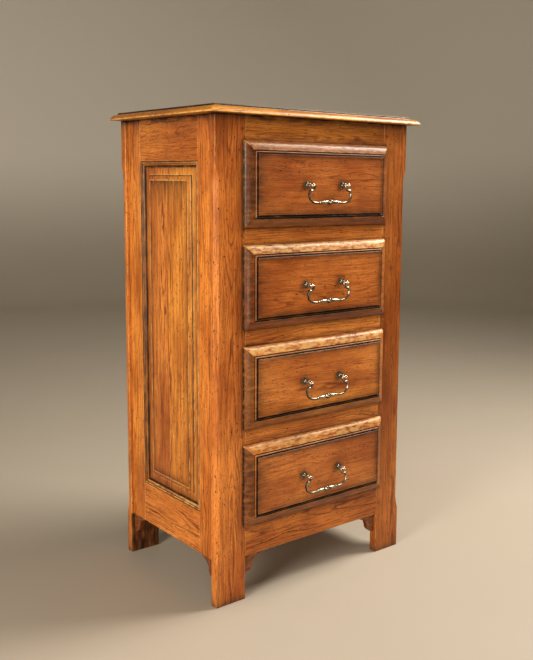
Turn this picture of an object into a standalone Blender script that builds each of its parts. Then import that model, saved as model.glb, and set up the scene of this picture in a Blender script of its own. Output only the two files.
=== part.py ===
"""Tall oak chest: four lipped drawers in a pegged frame-and-panel carcass, with swinging bail pulls.

Metres, +Z up, front towards -Y. The origin is on the floor, under the middle of the whole object's box.
"""
import math

import bmesh
import bpy
from mathutils import Matrix

# Overall sizes
HEIGHT = 1.060
CARCASS_WIDTH = 0.545
CARCASS_DEPTH = 0.390
GAP = 0.0003                     # between pieces that touch

# Top board
TOP_THICKNESS = 0.018
TOP_OVERHANG = 0.0245            # past the stiles, at the front and the sides
TOP_BACK_OVERHANG = 0.008
TOP_LOWER_FILLET = 0.002
TOP_UPPER_FILLET = 0.004
TOP_EDGE_WIDTH = 0.0215          # from the outer edge in to the flat top
TOP_STEP_LEAN = 0.0003           # lean of the small step above the thumbnail

# Corner stiles, which run down as the legs, and the front rails
BOARD = 0.020                    # thickness of every frame board
STILE_WIDTH = 0.075
LEG_HEIGHT = 0.098               # floor to the underside of the bottom rails
CHAMFER = 0.008                  # stopped chamfer on the outer corners
CHAMFER_TAPER = 0.045            # length of each chamfer stop
CHAMFER_TOP_MARGIN = 0.092       # from the underside of the top board down to the stop
CHAMFER_FOOT_MARGIN = 0.012      # chamfer's lower tip below the bottom rails
TENON_LENGTH = 0.022
TENON_THICKNESS = 0.008
TENON_SHOULDER = 0.008           # above and below each tenon

# Side frames and back
SIDE_INSET = 0.007               # side frame's face behind the edge of the corner stiles
SIDE_STILE_WIDTH = 0.0545
SIDE_TOP_RAIL = 0.093
SIDE_BOTTOM_RAIL = 0.0935
PANEL_THICKNESS = 0.014
PANEL_TONGUE = 0.007             # thickness of the panel's edge in its groove
PANEL_GROOVE = 0.009             # depth of the groove
PANEL_RECESS = 0.0075            # flat margin behind the frame's face
PANEL_MARGIN = 0.0315
PANEL_MARGIN_RISE = 0.0002       # slight rise of the flat margin towards the bevel
PANEL_BEVEL = 0.009
BACK_THICKNESS = 0.008
BACK_RECESS = 0.004
BACK_GROOVE = 0.007

# Drawers
DRAWER_COUNT = 4
RAIL_SHOWING = 0.034             # rail seen between two drawer fronts
TOP_RAIL_SHOWING = 0.0515        # rail seen above the top drawer front
BOTTOM_RAIL_SHOWING = 0.0675     # and below the lowest one
LIP_OVERLAP = 0.007              # drawer front over the frame, all round
FRONT_PROUD = 0.0192             # raised field in front of the frame
FRONT_EDGE = 0.0018              # thin outer edge of the lip
FRONT_REBATE = 0.008             # part of the front that enters the opening
REBATE_DRAFT = 0.0001            # lean of the rebate's sides
OVOLO_WIDTH = 0.0192             # wide rounded slope of the moulded border
OVOLO_CLIMB = 0.78               # share of the climb to the field that the slope makes
QUIRK_WIDTH = 0.0018             # groove beside the bead
QUIRK_DEPTH = 0.0018
BEAD_WIDTH = 0.0040
BEAD_CLIMB = 0.90                # share of the climb reached by the bead's top
FIELD_STEP_WIDTH = 0.0018        # last slope up to the raised field
DRAWER_CLEARANCE = 0.002
DRAWER_SIDE = 0.012
DRAWER_BACK = 0.010
DRAWER_BOTTOM = 0.006
BOTTOM_RAISE = 0.009             # drawer bottom above the lower edge of the sides
BOTTOM_GROOVE = 0.005
SIDE_DROP = 0.006                # drawer sides below the head of their opening
DRAWER_BACK_SPACE = 0.012        # between a shut drawer and the back panel
DRAWER_TRAVEL = 0.270

# Web frames that carry the drawers
WEB_THICKNESS = 0.020
WEB_FRONT_RAIL = 0.034
WEB_BACK_RAIL = 0.034
RUNNER_UNDER_SIDE = 0.016        # runner showing inside the drawer side's outer face
GUIDE_WIDTH = 0.016
GUIDE_HEIGHT = 0.012

# Leg brackets
BRACKET_WIDTH = 0.049
BRACKET_HEIGHT = 0.047
BRACKET_THICKNESS = 0.013
FRONT_BRACKET_RECESS = 0.006     # behind the face of the frame it fits to
SIDE_BRACKET_RECESS = 0.0015

# Bail pulls
POST_SPACING = 0.1016
POST_REACH = 0.0205              # raised field to the bail's hinge line
POST_HEAD_RADIUS = 0.0046
POST_STEM_RADIUS = 0.0024
FINIAL_LENGTH = 0.0035
FINIAL_TIP_RADIUS = 0.0012
FINIAL_NECK_RADIUS = 0.0014
FINIAL_TIP_ROUND = 0.0004        # from the tip back to its widest part
ROSETTE_HALF_DIAGONAL = 0.0098
ROSETTE_THICKNESS = 0.0022
SHANK_RADIUS = 0.0019
NUT_RADIUS = 0.0048
NUT_THICKNESS = 0.003
PIN_RADIUS = 0.0014
PIN_LENGTH = 0.0062
EYE_SHIFT = 0.0008               # pin hole's middle past the head's side
WIRE_RADIUS = 0.0024
SWELL = 0.0014                   # added to the wire radius along the lower bar
SWELL_REACH = 0.42               # share of the half width that the swell covers
BAIL_DROP = 0.038
BAIL_HALF_WIDTH = 0.0602
BAIL_MIDDLE_DROP = 0.955         # share of the drop at the knop
NECK_TOP = 0.0008                # neck's upper end below the hinge line
NECK_LEAN = 0.0012               # how far the neck leans out
NECK_FOOT = 0.0062
CUSP_INSET = 0.0045              # the arm's turning points inside the bail's full width
SHOULDER_INSET = 0.0008
ELBOW_INSET = 0.0028
KNOP_RADIUS = 0.0060
MERGE_DISTANCE = 0.00002

# Derived places
CARCASS_TOP = HEIGHT - TOP_THICKNESS
HALF_WIDTH = CARCASS_WIDTH / 2
FRONT_REACH = FRONT_PROUD + GAP + POST_REACH + POST_HEAD_RADIUS + FINIAL_LENGTH
FACE_Y = FRONT_REACH - (FRONT_REACH + CARCASS_DEPTH + TOP_BACK_OVERHANG) / 2
BACK_Y = FACE_Y + CARCASS_DEPTH
OPENING_HALF = HALF_WIDTH - STILE_WIDTH
FRONTS_HEIGHT = CARCASS_TOP - LEG_HEIGHT - TOP_RAIL_SHOWING - BOTTOM_RAIL_SHOWING
DRAWER_FRONT_HEIGHT = (FRONTS_HEIGHT - (DRAWER_COUNT - 1) * RAIL_SHOWING) / DRAWER_COUNT
OPENING_HEIGHT = DRAWER_FRONT_HEIGHT - 2 * LIP_OVERLAP
RAIL_HEIGHT = RAIL_SHOWING + 2 * LIP_OVERLAP
DRAWER_PITCH = DRAWER_FRONT_HEIGHT + RAIL_SHOWING
TOP_RAIL_HEIGHT = TOP_RAIL_SHOWING + LIP_OVERLAP
SIDE_OUTER_X = HALF_WIDTH - SIDE_INSET
SIDE_INNER_X = SIDE_OUTER_X - BOARD
SIDE_FRONT_Y = FACE_Y + BOARD + GAP
SIDE_BACK_Y = BACK_Y - BOARD - GAP
PANEL_TOP_Z = CARCASS_TOP - SIDE_TOP_RAIL
PANEL_BOTTOM_Z = LEG_HEIGHT + SIDE_BOTTOM_RAIL
DRAWER_HALF = OPENING_HALF - DRAWER_CLEARANCE
DRAWER_BACK_Y = BACK_Y - BACK_RECESS - BACK_THICKNESS - DRAWER_BACK_SPACE
FRONT_THICKNESS = FRONT_PROUD + FRONT_REBATE

# Colours
OAK = (0.46, 0.17, 0.045)
OAK_DARK = (0.24, 0.08, 0.03)
OAK_INSIDE = (0.50, 0.30, 0.14)
PEWTER = (0.32, 0.29, 0.24)


def clear_scene():
    for obj in list(bpy.data.objects):
        bpy.data.objects.remove(obj, do_unlink=True)


def new_collection(name):
    collection = bpy.data.collections.new(name)
    bpy.context.scene.collection.children.link(collection)
    return collection


def new_material(name, colour, roughness, metallic=0.0):
    material = bpy.data.materials.new(name)
    material.use_nodes = True
    shader = material.node_tree.nodes["Principled BSDF"]
    shader.inputs["Base Color"].default_value = (*colour, 1.0)
    shader.inputs["Roughness"].default_value = roughness
    shader.inputs["Metallic"].default_value = metallic
    material.diffuse_color = (*colour, 1.0)
    return material


clear_scene()
PARTS = new_collection("tall_chest_of_drawers")
CUTTERS = new_collection("cutters")


def add_part(name, mesh, look, location=(0, 0, 0), parent=None):
    """Put one piece in the model with a material of its own."""
    obj = bpy.data.objects.new(name, mesh)
    if not mesh.materials:
        mesh.materials.append(None)
    obj.material_slots[0].link = "OBJECT"
    obj.material_slots[0].material = new_material(name, *look)
    obj.location = location
    obj.parent = parent
    PARTS.objects.link(obj)
    return obj


def add_curve_part(curve, look):
    """Put one piece made from a curve in the model, under the curve's name."""
    obj = bpy.data.objects.new(curve.name, curve)
    curve.materials.append(new_material(curve.name, *look))
    PARTS.objects.link(obj)
    return obj


def add_cutter(name, mesh, location=(0, 0, 0), parent=None):
    obj = bpy.data.objects.new(name, mesh)
    obj.location = location
    obj.parent = parent
    obj.hide_render = True
    obj.display_type = "WIRE"
    CUTTERS.objects.link(obj)
    return obj


def add_empty(name, location, parent=None):
    empty = bpy.data.objects.new(name, None)
    empty.location = location
    empty.parent = parent
    PARTS.objects.link(empty)
    return empty


def combine(target, tool, operation):
    modifier = target.modifiers.new(f"{operation.lower()}_{tool.name}", "BOOLEAN")
    modifier.operation = operation
    modifier.solver = "EXACT"
    modifier.object = tool


def ease_edges(obj, width=0.0012):
    """Break the sharp edges, as a plane or a sanding block does."""
    modifier = obj.modifiers.new("eased_edges", "BEVEL")
    modifier.width = width
    modifier.segments = 1
    modifier.limit_method = "ANGLE"
    modifier.angle_limit = math.radians(60)


def to_mesh(bm, name):
    mesh = bpy.data.meshes.new(name)
    bm.to_mesh(mesh)
    bm.free()
    return mesh


def box_mesh(name, size):
    bm = bmesh.new()
    bmesh.ops.create_cube(bm, size=1.0)
    bmesh.ops.scale(bm, vec=size, verts=bm.verts)
    return to_mesh(bm, name)


def middle(low, high):
    return [(a + b) / 2 for a, b in zip(low, high)]


def extent(low, high):
    return [b - a for a, b in zip(low, high)]


def grown(low, high, margin):
    return [a - margin for a in low], [b + margin for b in high]


def board(name, low, high, look, parent=None, eased=True):
    """A plain board given by its lowest and highest corners."""
    obj = add_part(name, box_mesh(name, extent(low, high)), look, middle(low, high), parent)
    if eased:
        ease_edges(obj)
    return obj


def cut_box(target, name, low, high, parent=None):
    cutter = add_cutter(name, box_mesh(name, extent(low, high)), middle(low, high), parent)
    combine(target, cutter, "DIFFERENCE")


def join_box(target, name, low, high, parent=None):
    tool = add_cutter(name, box_mesh(name, extent(low, high)), middle(low, high), parent)
    combine(target, tool, "UNION")


def raised_slab(name, width, height, edge, steps):
    """A slab in the XZ plane whose -Y face rises in mitred steps of (inset, rise)."""
    bm = bmesh.new()
    bmesh.ops.create_cube(bm, size=1.0)
    bmesh.ops.scale(bm, vec=(width, edge, height), verts=bm.verts)
    bmesh.ops.translate(bm, vec=(0, -edge / 2, 0), verts=bm.verts)
    bm.faces.ensure_lookup_table()
    face = min(bm.faces, key=lambda f: f.calc_center_median().y)
    for inset, rise in steps:
        bmesh.ops.inset_individual(bm, faces=[face], thickness=inset, depth=rise, use_even_offset=True)
    return bm


def arc_steps(run, rise, first_angle, last_angle, count):
    """Split run and rise along an elliptical arc, from first_angle to last_angle in degrees."""
    angles = [math.radians(first_angle + (last_angle - first_angle) * i / count) for i in range(count + 1)]
    across = [1 - math.cos(a) for a in angles]
    up = [math.sin(a) for a in angles]
    return [
        (run * (across[i + 1] - across[i]) / (across[-1] - across[0]),
         rise * (up[i + 1] - up[i]) / (up[-1] - up[0]))
        for i in range(count)
    ]


# ---------------------------------------------------------------- carcass

def tenon_box(side, z_low, z_high, shoulder_x, plane_y):
    """Corners of a tenon that enters a corner stile; side is -1 at the left and 1 at the right."""
    ends = sorted((side * (shoulder_x - TENON_SHOULDER), side * (shoulder_x + TENON_LENGTH)))
    low = (ends[0], plane_y - TENON_THICKNESS / 2, z_low + TENON_SHOULDER)
    high = (ends[1], plane_y + TENON_THICKNESS / 2, z_high - TENON_SHOULDER)
    return low, high


def opening_levels():
    """Lower and upper edge of each drawer opening, from the top drawer down."""
    heads = [CARCASS_TOP - TOP_RAIL_HEIGHT - n * DRAWER_PITCH for n in range(DRAWER_COUNT)]
    return [(head - OPENING_HEIGHT, head) for head in heads]


def front_rail_levels():
    """Lower and upper edge of each front rail, from the top rail down."""
    openings = opening_levels()
    rails = [(openings[0][1], CARCASS_TOP)]
    rails += [(low - RAIL_HEIGHT, low) for low, high in openings[:-1]]
    rails.append((LEG_HEIGHT, openings[-1][0]))
    return rails


def chamfer_corner(stile, name, x, y):
    """Cut a stopped chamfer whose ends taper out like a lamb's tongue."""
    low = LEG_HEIGHT - CHAMFER_FOOT_MARGIN
    high = CARCASS_TOP - CHAMFER_TOP_MARGIN
    bm = bmesh.new()
    bmesh.ops.create_cone(bm, cap_ends=True, segments=4, radius1=CHAMFER, radius2=CHAMFER,
                          depth=high - low - 2 * CHAMFER_TAPER)
    ends = [f for f in bm.faces if abs(f.normal.z) > 0.9]
    tips = bmesh.ops.poke(bm, faces=ends)["verts"]
    for vert in tips:
        vert.co.z += math.copysign(CHAMFER_TAPER, vert.co.z)
    cutter = add_cutter(name, to_mesh(bm, name), (x, y, (low + high) / 2))
    combine(stile, cutter, "DIFFERENCE")


def build_front_stiles(look):
    for side, label in ((-1, "left"), (1, "right")):
        ends = sorted((side * HALF_WIDTH, side * OPENING_HALF))
        low, high = (ends[0], FACE_Y, 0), (ends[1], FACE_Y + BOARD, CARCASS_TOP - GAP)
        stile = board(f"front_stile_{label}", low, high, look)
        chamfer_corner(stile, f"front_chamfer_{label}", side * HALF_WIDTH, FACE_Y)
        for number, (under, over) in enumerate(front_rail_levels()):
            box = tenon_box(side, under, over, OPENING_HALF, FACE_Y + BOARD / 2)
            cut_box(stile, f"front_mortise_{label}_{number}", *grown(*box, GAP))


def add_front_tenons(rail, name, low, high):
    for side, label in ((-1, "left"), (1, "right")):
        box = tenon_box(side, low, high, OPENING_HALF, FACE_Y + BOARD / 2)
        join_box(rail, f"{name}_tenon_{label}", *box)


def build_front_rails(look):
    levels = front_rail_levels()
    rails = (("front_top_rail", levels[0][0], levels[0][1] - GAP), ("front_bottom_rail", *levels[-1]))
    for name, low, high in rails:
        half = OPENING_HALF - GAP
        rail = board(name, (-half, FACE_Y, low), (half, FACE_Y + BOARD, high), look, eased=False)
        add_front_tenons(rail, name, low, high)


def build_web_frame(name, rail_low, top, look, with_rail):
    """A flat frame at the level of a drawer's floor: front rail, two runners with guides, back rail."""
    outer = SIDE_INNER_X - GAP
    inner = DRAWER_HALF - RUNNER_UNDER_SIDE
    front, back = SIDE_FRONT_Y, SIDE_BACK_Y
    low = top - WEB_THICKNESS
    frame = board(name, (-outer, front, low), (outer, back, top), look, eased=False)
    hole_low = (-inner, front + WEB_FRONT_RAIL, low - WEB_THICKNESS)
    hole_high = (inner, back - WEB_BACK_RAIL, top + WEB_THICKNESS)
    cut_box(frame, f"{name}_middle", hole_low, hole_high)
    for side, label in ((-1, "left"), (1, "right")):
        guide = sorted((side * OPENING_HALF, side * (OPENING_HALF + GUIDE_WIDTH)))
        join_box(frame, f"{name}_guide_{label}",
                 (guide[0], front + GAP, low + WEB_THICKNESS / 2),
                 (guide[1], back - WEB_BACK_RAIL, top + GUIDE_HEIGHT))
    if with_rail:
        half = OPENING_HALF - GAP
        join_box(frame, f"{name}_rail", (-half, FACE_Y, rail_low), (half, front + WEB_FRONT_RAIL / 4, top))
        add_front_tenons(frame, name, rail_low, top)
    return frame


def build_web_frames(look):
    levels = front_rail_levels()
    for number, (low, high) in enumerate(levels[1:-1], start=1):
        build_web_frame(f"web_frame_{number}", low, high, look, True)
    build_web_frame("bottom_web_frame", levels[-1][0], levels[-1][1], look, False)


def build_back(look, panel_look):
    reach = OPENING_HALF + BACK_GROOVE
    front, back = BACK_Y - BACK_RECESS - BACK_THICKNESS, BACK_Y - BACK_RECESS
    low, high = (-reach, front, LEG_HEIGHT), (reach, back, CARCASS_TOP - GAP)
    board("back_panel", low, high, panel_look)
    for side, label in ((-1, "left"), (1, "right")):
        ends = sorted((side * HALF_WIDTH, side * OPENING_HALF))
        stile_low, stile_high = (ends[0], BACK_Y - BOARD, 0), (ends[1], BACK_Y, CARCASS_TOP - GAP)
        stile = board(f"back_stile_{label}", stile_low, stile_high, look)
        chamfer_corner(stile, f"back_chamfer_{label}", side * HALF_WIDTH, BACK_Y)
        cut_box(stile, f"back_groove_{label}", (low[0] - GAP, front - GAP, LEG_HEIGHT - GAP),
                (high[0] + GAP, back + GAP, CARCASS_TOP + GAP))


def panel_steps():
    """Flat margin, then a bevel up to the raised field."""
    rise = PANEL_THICKNESS - PANEL_TONGUE
    margin = (PANEL_GROOVE + PANEL_MARGIN, PANEL_MARGIN_RISE)
    bead = (PANEL_BEVEL * 0.25, rise * 0.45)
    slope = (PANEL_BEVEL * 0.75, rise * 0.4)
    return [margin, bead, slope]


def build_side(side, label, look, panel_look):
    """One side: two stiles, two rails tenoned between them and a raised panel in their grooves."""
    outer, inner = side * SIDE_OUTER_X, side * SIDE_INNER_X
    x_low, x_high = min(outer, inner), max(outer, inner)
    rail_front = SIDE_FRONT_Y + SIDE_STILE_WIDTH
    rail_back = SIDE_BACK_Y - SIDE_STILE_WIDTH
    top = CARCASS_TOP - GAP
    face = side * (SIDE_OUTER_X - PANEL_RECESS - PANEL_TONGUE)
    tongue = sorted((face - GAP * side, face + side * (PANEL_TONGUE + GAP)))
    groove_low = (tongue[0], rail_front - PANEL_GROOVE - GAP, PANEL_BOTTOM_Z - PANEL_GROOVE - GAP)
    groove_high = (tongue[1], rail_back + PANEL_GROOVE + GAP, PANEL_TOP_Z + PANEL_GROOVE + GAP)

    stiles = []
    for place, front, back in (("front", SIDE_FRONT_Y, rail_front), ("back", rail_back, SIDE_BACK_Y)):
        stile = board(f"side_stile_{place}_{label}", (x_low, front, LEG_HEIGHT), (x_high, back, top), look)
        cut_box(stile, f"{label}_{place}_panel_groove", groove_low, groove_high)
        stiles.append(stile)

    rails = (("top", PANEL_TOP_Z, top), ("bottom", LEG_HEIGHT, PANEL_BOTTOM_Z))
    middle_x = (outer + inner) / 2
    for place, low, high in rails:
        name = f"side_{place}_rail_{label}"
        rail_low, rail_high = (x_low, rail_front + GAP, low), (x_high, rail_back - GAP, high)
        rail = board(name, rail_low, rail_high, look, eased=False)
        half = TENON_THICKNESS / 2
        tenon_low = (middle_x - half, rail_front - TENON_LENGTH, low + 2 * TENON_SHOULDER)
        tenon_high = (middle_x + half, rail_back + TENON_LENGTH, high - 2 * TENON_SHOULDER)
        join_box(rail, f"{name}_tenons", tenon_low, tenon_high)
        cut_box(rail, f"{name}_panel_groove", groove_low, groove_high)
        for stile in stiles:
            cut_box(stile, f"{stile.name}_{place}_mortise", *grown(tenon_low, tenon_high, GAP))

    width = rail_back - rail_front + 2 * PANEL_GROOVE
    height = PANEL_TOP_Z - PANEL_BOTTOM_Z + 2 * PANEL_GROOVE
    bm = raised_slab("panel", width, height, PANEL_TONGUE, panel_steps())
    bmesh.ops.rotate(bm, matrix=Matrix.Rotation(side * math.pi / 2, 3, "Z"), verts=bm.verts)
    place = (face, (rail_front + rail_back) / 2, (PANEL_TOP_Z + PANEL_BOTTOM_Z) / 2)
    add_part(f"side_panel_{label}", to_mesh(bm, f"side_panel_{label}"), panel_look, place)


def build_top(look):
    """Top board with a thumbnail edge on the front and the sides, and a square back edge."""
    width = CARCASS_WIDTH + 2 * TOP_OVERHANG
    depth = CARCASS_DEPTH + TOP_OVERHANG + TOP_BACK_OVERHANG
    spare = TOP_EDGE_WIDTH * 2
    curve_rise = TOP_THICKNESS - TOP_LOWER_FILLET - TOP_UPPER_FILLET
    steps = arc_steps(TOP_EDGE_WIDTH - TOP_STEP_LEAN, curve_rise, 12, 84, 5)
    steps.append((TOP_STEP_LEAN, TOP_UPPER_FILLET))
    bm = raised_slab("top_board", width, depth + spare, TOP_LOWER_FILLET, steps)
    bmesh.ops.rotate(bm, matrix=Matrix.Rotation(-math.pi / 2, 3, "X"), verts=bm.verts)
    bmesh.ops.translate(bm, vec=(0, spare / 2, 0), verts=bm.verts)
    geometry = bm.verts[:] + bm.edges[:] + bm.faces[:]
    sliced = bmesh.ops.bisect_plane(bm, geom=geometry, plane_co=(0, depth / 2, 0), plane_no=(0, 1, 0),
                                    clear_outer=True, dist=1e-6)
    rim = [item for item in sliced["geom_cut"] if isinstance(item, bmesh.types.BMEdge)]
    bmesh.ops.contextual_create(bm, geom=rim)
    bmesh.ops.recalc_face_normals(bm, faces=bm.faces)
    y = (FACE_Y - TOP_OVERHANG + BACK_Y + TOP_BACK_OVERHANG) / 2
    add_part("top_board", to_mesh(bm, "top_board"), look, (0, y, CARCASS_TOP))


# --------------------------------------------------------------- brackets

def curve_between(start, end, bulge, count):
    """Points of a parabolic arc from start to end; bulge is its height to the left of the line."""
    dx, dz = end[0] - start[0], end[1] - start[1]
    length = math.hypot(dx, dz)
    points = []
    for i in range(count + 1):
        t = i / count
        lift = 4 * bulge * t * (1 - t)
        points.append((start[0] + dx * t - dz / length * lift, start[1] + dz * t + dx / length * lift))
    return points


def bracket_outline():
    """Corner at the origin, along the rail at +X, down the leg at -Z."""
    w, h = BRACKET_WIDTH, BRACKET_HEIGHT
    shoulder = (w * 0.84, -h * 0.24)
    waist = (w * 0.46, -h * 0.47)
    tip = (w * 0.2, -h * 0.93)
    outline = [(0, 0), (w, 0), (w, -h * 0.06)]
    outline += curve_between(shoulder, waist, -w * 0.06, 5)
    outline += curve_between(waist, tip, w * 0.08, 6)[1:]
    outline += curve_between(tip, (0, -h), -w * 0.04, 3)[1:]
    return outline


def bracket_curve(name):
    curve = bpy.data.curves.new(name, "CURVE")
    curve.dimensions = "2D"
    curve.fill_mode = "BOTH"
    curve.extrude = BRACKET_THICKNESS / 2
    spline = curve.splines.new("POLY")
    points = bracket_outline()
    spline.points.add(len(points) - 1)
    for point, (x, z) in zip(spline.points, points):
        point.co = (x, z, 0, 1)
    spline.use_cyclic_u = True
    return curve


def build_brackets(look):
    """Six scrolled brackets in the corners between the legs and the bottom rails."""
    z = LEG_HEIGHT - GAP
    side_x = SIDE_OUTER_X - SIDE_BRACKET_RECESS - BRACKET_THICKNESS / 2
    front_y = FACE_Y + FRONT_BRACKET_RECESS + BRACKET_THICKNESS / 2
    places = (
        ("front_bracket_left", -OPENING_HALF + GAP, front_y, 0),
        ("front_bracket_right", OPENING_HALF - GAP, front_y, 180),
        ("side_bracket_front_left", -side_x, FACE_Y + BOARD + GAP, 90),
        ("side_bracket_front_right", side_x, FACE_Y + BOARD + GAP, 90),
        ("side_bracket_back_left", -side_x, BACK_Y - BOARD - GAP, -90),
        ("side_bracket_back_right", side_x, BACK_Y - BOARD - GAP, -90),
    )
    for name, x, y, turn in places:
        obj = add_curve_part(bracket_curve(name), look)
        obj.location = (x, y, z)
        obj.rotation_euler = (math.pi / 2, 0, math.radians(turn))


# ---------------------------------------------------------------- drawers

def border_steps():
    """Moulded border of a drawer front: thin lip, ovolo, quirk, bead, and a step up to the raised field."""
    climb = FRONT_PROUD - FRONT_EDGE
    ovolo_rise = climb * OVOLO_CLIMB
    bead_top = climb * BEAD_CLIMB
    groove = ovolo_rise - QUIRK_DEPTH
    steps = arc_steps(OVOLO_WIDTH, ovolo_rise, 8, 62, 6)
    steps += [(QUIRK_WIDTH * 0.3, -QUIRK_DEPTH), (QUIRK_WIDTH * 0.7, 0.0)]
    steps += arc_steps(BEAD_WIDTH / 2, bead_top - groove, 5, 80, 3)
    steps += [(BEAD_WIDTH / 4, -QUIRK_DEPTH * 0.15), (BEAD_WIDTH / 4, -QUIRK_DEPTH * 0.7)]
    height = bead_top - QUIRK_DEPTH * 0.85
    steps.append((FIELD_STEP_WIDTH, climb - height))
    return steps


def build_drawer_front(number, parent, look):
    name = f"drawer_{number}_front"
    width = 2 * (OPENING_HALF + LIP_OVERLAP)
    bm = raised_slab(name, width, DRAWER_FRONT_HEIGHT, FRONT_EDGE, border_steps())
    back = max(bm.faces, key=lambda f: f.calc_center_median().y)
    inset = LIP_OVERLAP + DRAWER_CLEARANCE
    bmesh.ops.inset_individual(bm, faces=[back], thickness=inset, depth=0.0, use_even_offset=True)
    bmesh.ops.inset_individual(bm, faces=[back], thickness=REBATE_DRAFT, depth=FRONT_REBATE,
                               use_even_offset=True)
    front = add_part(name, to_mesh(bm, name), look, (0, -GAP, 0), parent)
    for side, label in ((-1, "left"), (1, "right")):
        bm = bmesh.new()
        bmesh.ops.create_cone(bm, cap_ends=True, segments=12, radius1=SHANK_RADIUS + 2 * GAP,
                              radius2=SHANK_RADIUS + 2 * GAP, depth=4 * FRONT_THICKNESS)
        bmesh.ops.rotate(bm, matrix=Matrix.Rotation(math.pi / 2, 3, "X"), verts=bm.verts)
        place = (side * POST_SPACING / 2, 0, 0)
        hole = add_cutter(f"{name}_hole_{label}", to_mesh(bm, "shank_hole"), place, parent)
        combine(front, hole, "DIFFERENCE")
    return front


def build_drawer_box(number, parent, front, look):
    """Sides, back and bottom; the drawer's origin is at the middle of its front, on the carcass face."""
    base = -OPENING_HEIGHT / 2 + GAP
    top = OPENING_HEIGHT / 2 - SIDE_DROP
    start = FRONT_REBATE
    end = DRAWER_BACK_Y - FACE_Y
    inner = DRAWER_HALF - DRAWER_SIDE
    floor = base + BOTTOM_RAISE
    groove_low = (-inner - BOTTOM_GROOVE, start - BOTTOM_GROOVE, floor)
    groove_high = (inner + BOTTOM_GROOVE, end - GAP, floor + DRAWER_BOTTOM)
    board(f"drawer_{number}_bottom", groove_low, groove_high, look, parent, eased=False)
    low, high = grown(groove_low, groove_high, GAP)
    cut_box(front, f"drawer_{number}_front_groove", low, high, parent)
    for side, label in ((-1, "left"), (1, "right")):
        ends = sorted((side * inner, side * DRAWER_HALF))
        side_low, side_high = (ends[0], start, base), (ends[1], end, top)
        piece = board(f"drawer_{number}_side_{label}", side_low, side_high, look, parent)
        open_end = (high[0], end + BOTTOM_GROOVE, high[2])
        cut_box(piece, f"drawer_{number}_groove_{label}", low, open_end, parent)
    board(f"drawer_{number}_back", (-inner + GAP, end - DRAWER_BACK, floor + DRAWER_BOTTOM + GAP),
          (inner - GAP, end, top), look, parent)


def post_profile():
    """Radius and distance from the rosette, along the post's own line, from the finial back to the nut."""
    tip = POST_REACH + POST_HEAD_RADIUS + FINIAL_LENGTH
    profile = [(0.0, tip), (FINIAL_TIP_RADIUS, tip - FINIAL_TIP_ROUND)]
    profile.append((FINIAL_NECK_RADIUS, tip - FINIAL_LENGTH * 0.7))
    for i in range(1, 8):
        angle = math.pi * i / 9
        across, along = POST_HEAD_RADIUS * math.sin(angle), POST_HEAD_RADIUS * math.cos(angle)
        profile.append((across, POST_REACH + along))
    profile.append((POST_STEM_RADIUS, POST_REACH - POST_HEAD_RADIUS * 0.93))
    profile.append((POST_STEM_RADIUS, POST_REACH * 0.35))
    profile.append((POST_STEM_RADIUS * 1.9, ROSETTE_THICKNESS * 1.3))
    profile.append((POST_STEM_RADIUS * 1.9, ROSETTE_THICKNESS * 0.5))
    profile.append((0.0, ROSETTE_THICKNESS * 0.5))
    return profile


def add_cone(bm, sides, radius_back, radius_front, back, front, turn=0.0):
    """A cone along the post's line, between two distances in front of the raised field."""
    spin = Matrix.Rotation(math.pi / 2, 4, "X") @ Matrix.Rotation(turn, 4, "Z")
    shift = Matrix.Translation((0, -(back + front) / 2, 0))
    bmesh.ops.create_cone(bm, cap_ends=True, segments=sides, radius1=radius_back, radius2=radius_front,
                          depth=front - back, matrix=shift @ spin)


def build_post(number, side, label, parent, look):
    """Diamond rosette, stem and ball head in front of the drawer; threaded shank and nut behind it."""
    name = f"drawer_{number}_post_{label}"
    field = -(FRONT_PROUD + 2 * GAP)
    location = (side * POST_SPACING / 2, field, 0)
    bm = bmesh.new()
    add_cone(bm, 4, ROSETTE_HALF_DIAGONAL, ROSETTE_HALF_DIAGONAL * 0.72, 0, ROSETTE_THICKNESS)
    post = add_part(name, to_mesh(bm, name), look, location, parent)

    bm = bmesh.new()
    points = [bm.verts.new((radius, -distance, 0)) for radius, distance in post_profile()]
    for first, second in zip(points, points[1:]):
        bm.edges.new((first, second))
    stem = add_cutter(f"{name}_stem", to_mesh(bm, "post_stem"), location, parent)
    turned = stem.modifiers.new("turned", "SCREW")
    turned.axis = "Y"
    turned.steps = 12
    turned.render_steps = 12
    turned.use_merge_vertices = True
    turned.merge_threshold = MERGE_DISTANCE
    turned.use_normal_calculate = True
    combine(post, stem, "UNION")

    through = FRONT_THICKNESS + 2 * GAP
    for piece, sides, radius, back, front in (
            ("shank", 10, SHANK_RADIUS, -through - 2 * NUT_THICKNESS, ROSETTE_THICKNESS / 2),
            ("nut", 6, NUT_RADIUS, -through - NUT_THICKNESS, -through)):
        bm = bmesh.new()
        add_cone(bm, sides, radius, radius, back, front)
        tool = add_cutter(f"{name}_{piece}", to_mesh(bm, piece), location, parent)
        combine(post, tool, "UNION")

    bm = bmesh.new()
    bmesh.ops.create_cone(bm, cap_ends=True, segments=12, radius1=PIN_RADIUS + GAP,
                          radius2=PIN_RADIUS + GAP, depth=2 * PIN_LENGTH)
    bmesh.ops.rotate(bm, matrix=Matrix.Rotation(math.pi / 2, 3, "Y"), verts=bm.verts)
    inward = -side * (POST_HEAD_RADIUS + EYE_SHIFT)
    place = (location[0] + inward, field - POST_REACH, 0)
    eye = add_cutter(f"{name}_eye", to_mesh(bm, "post_eye"), place, parent)
    combine(post, eye, "DIFFERENCE")


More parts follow.
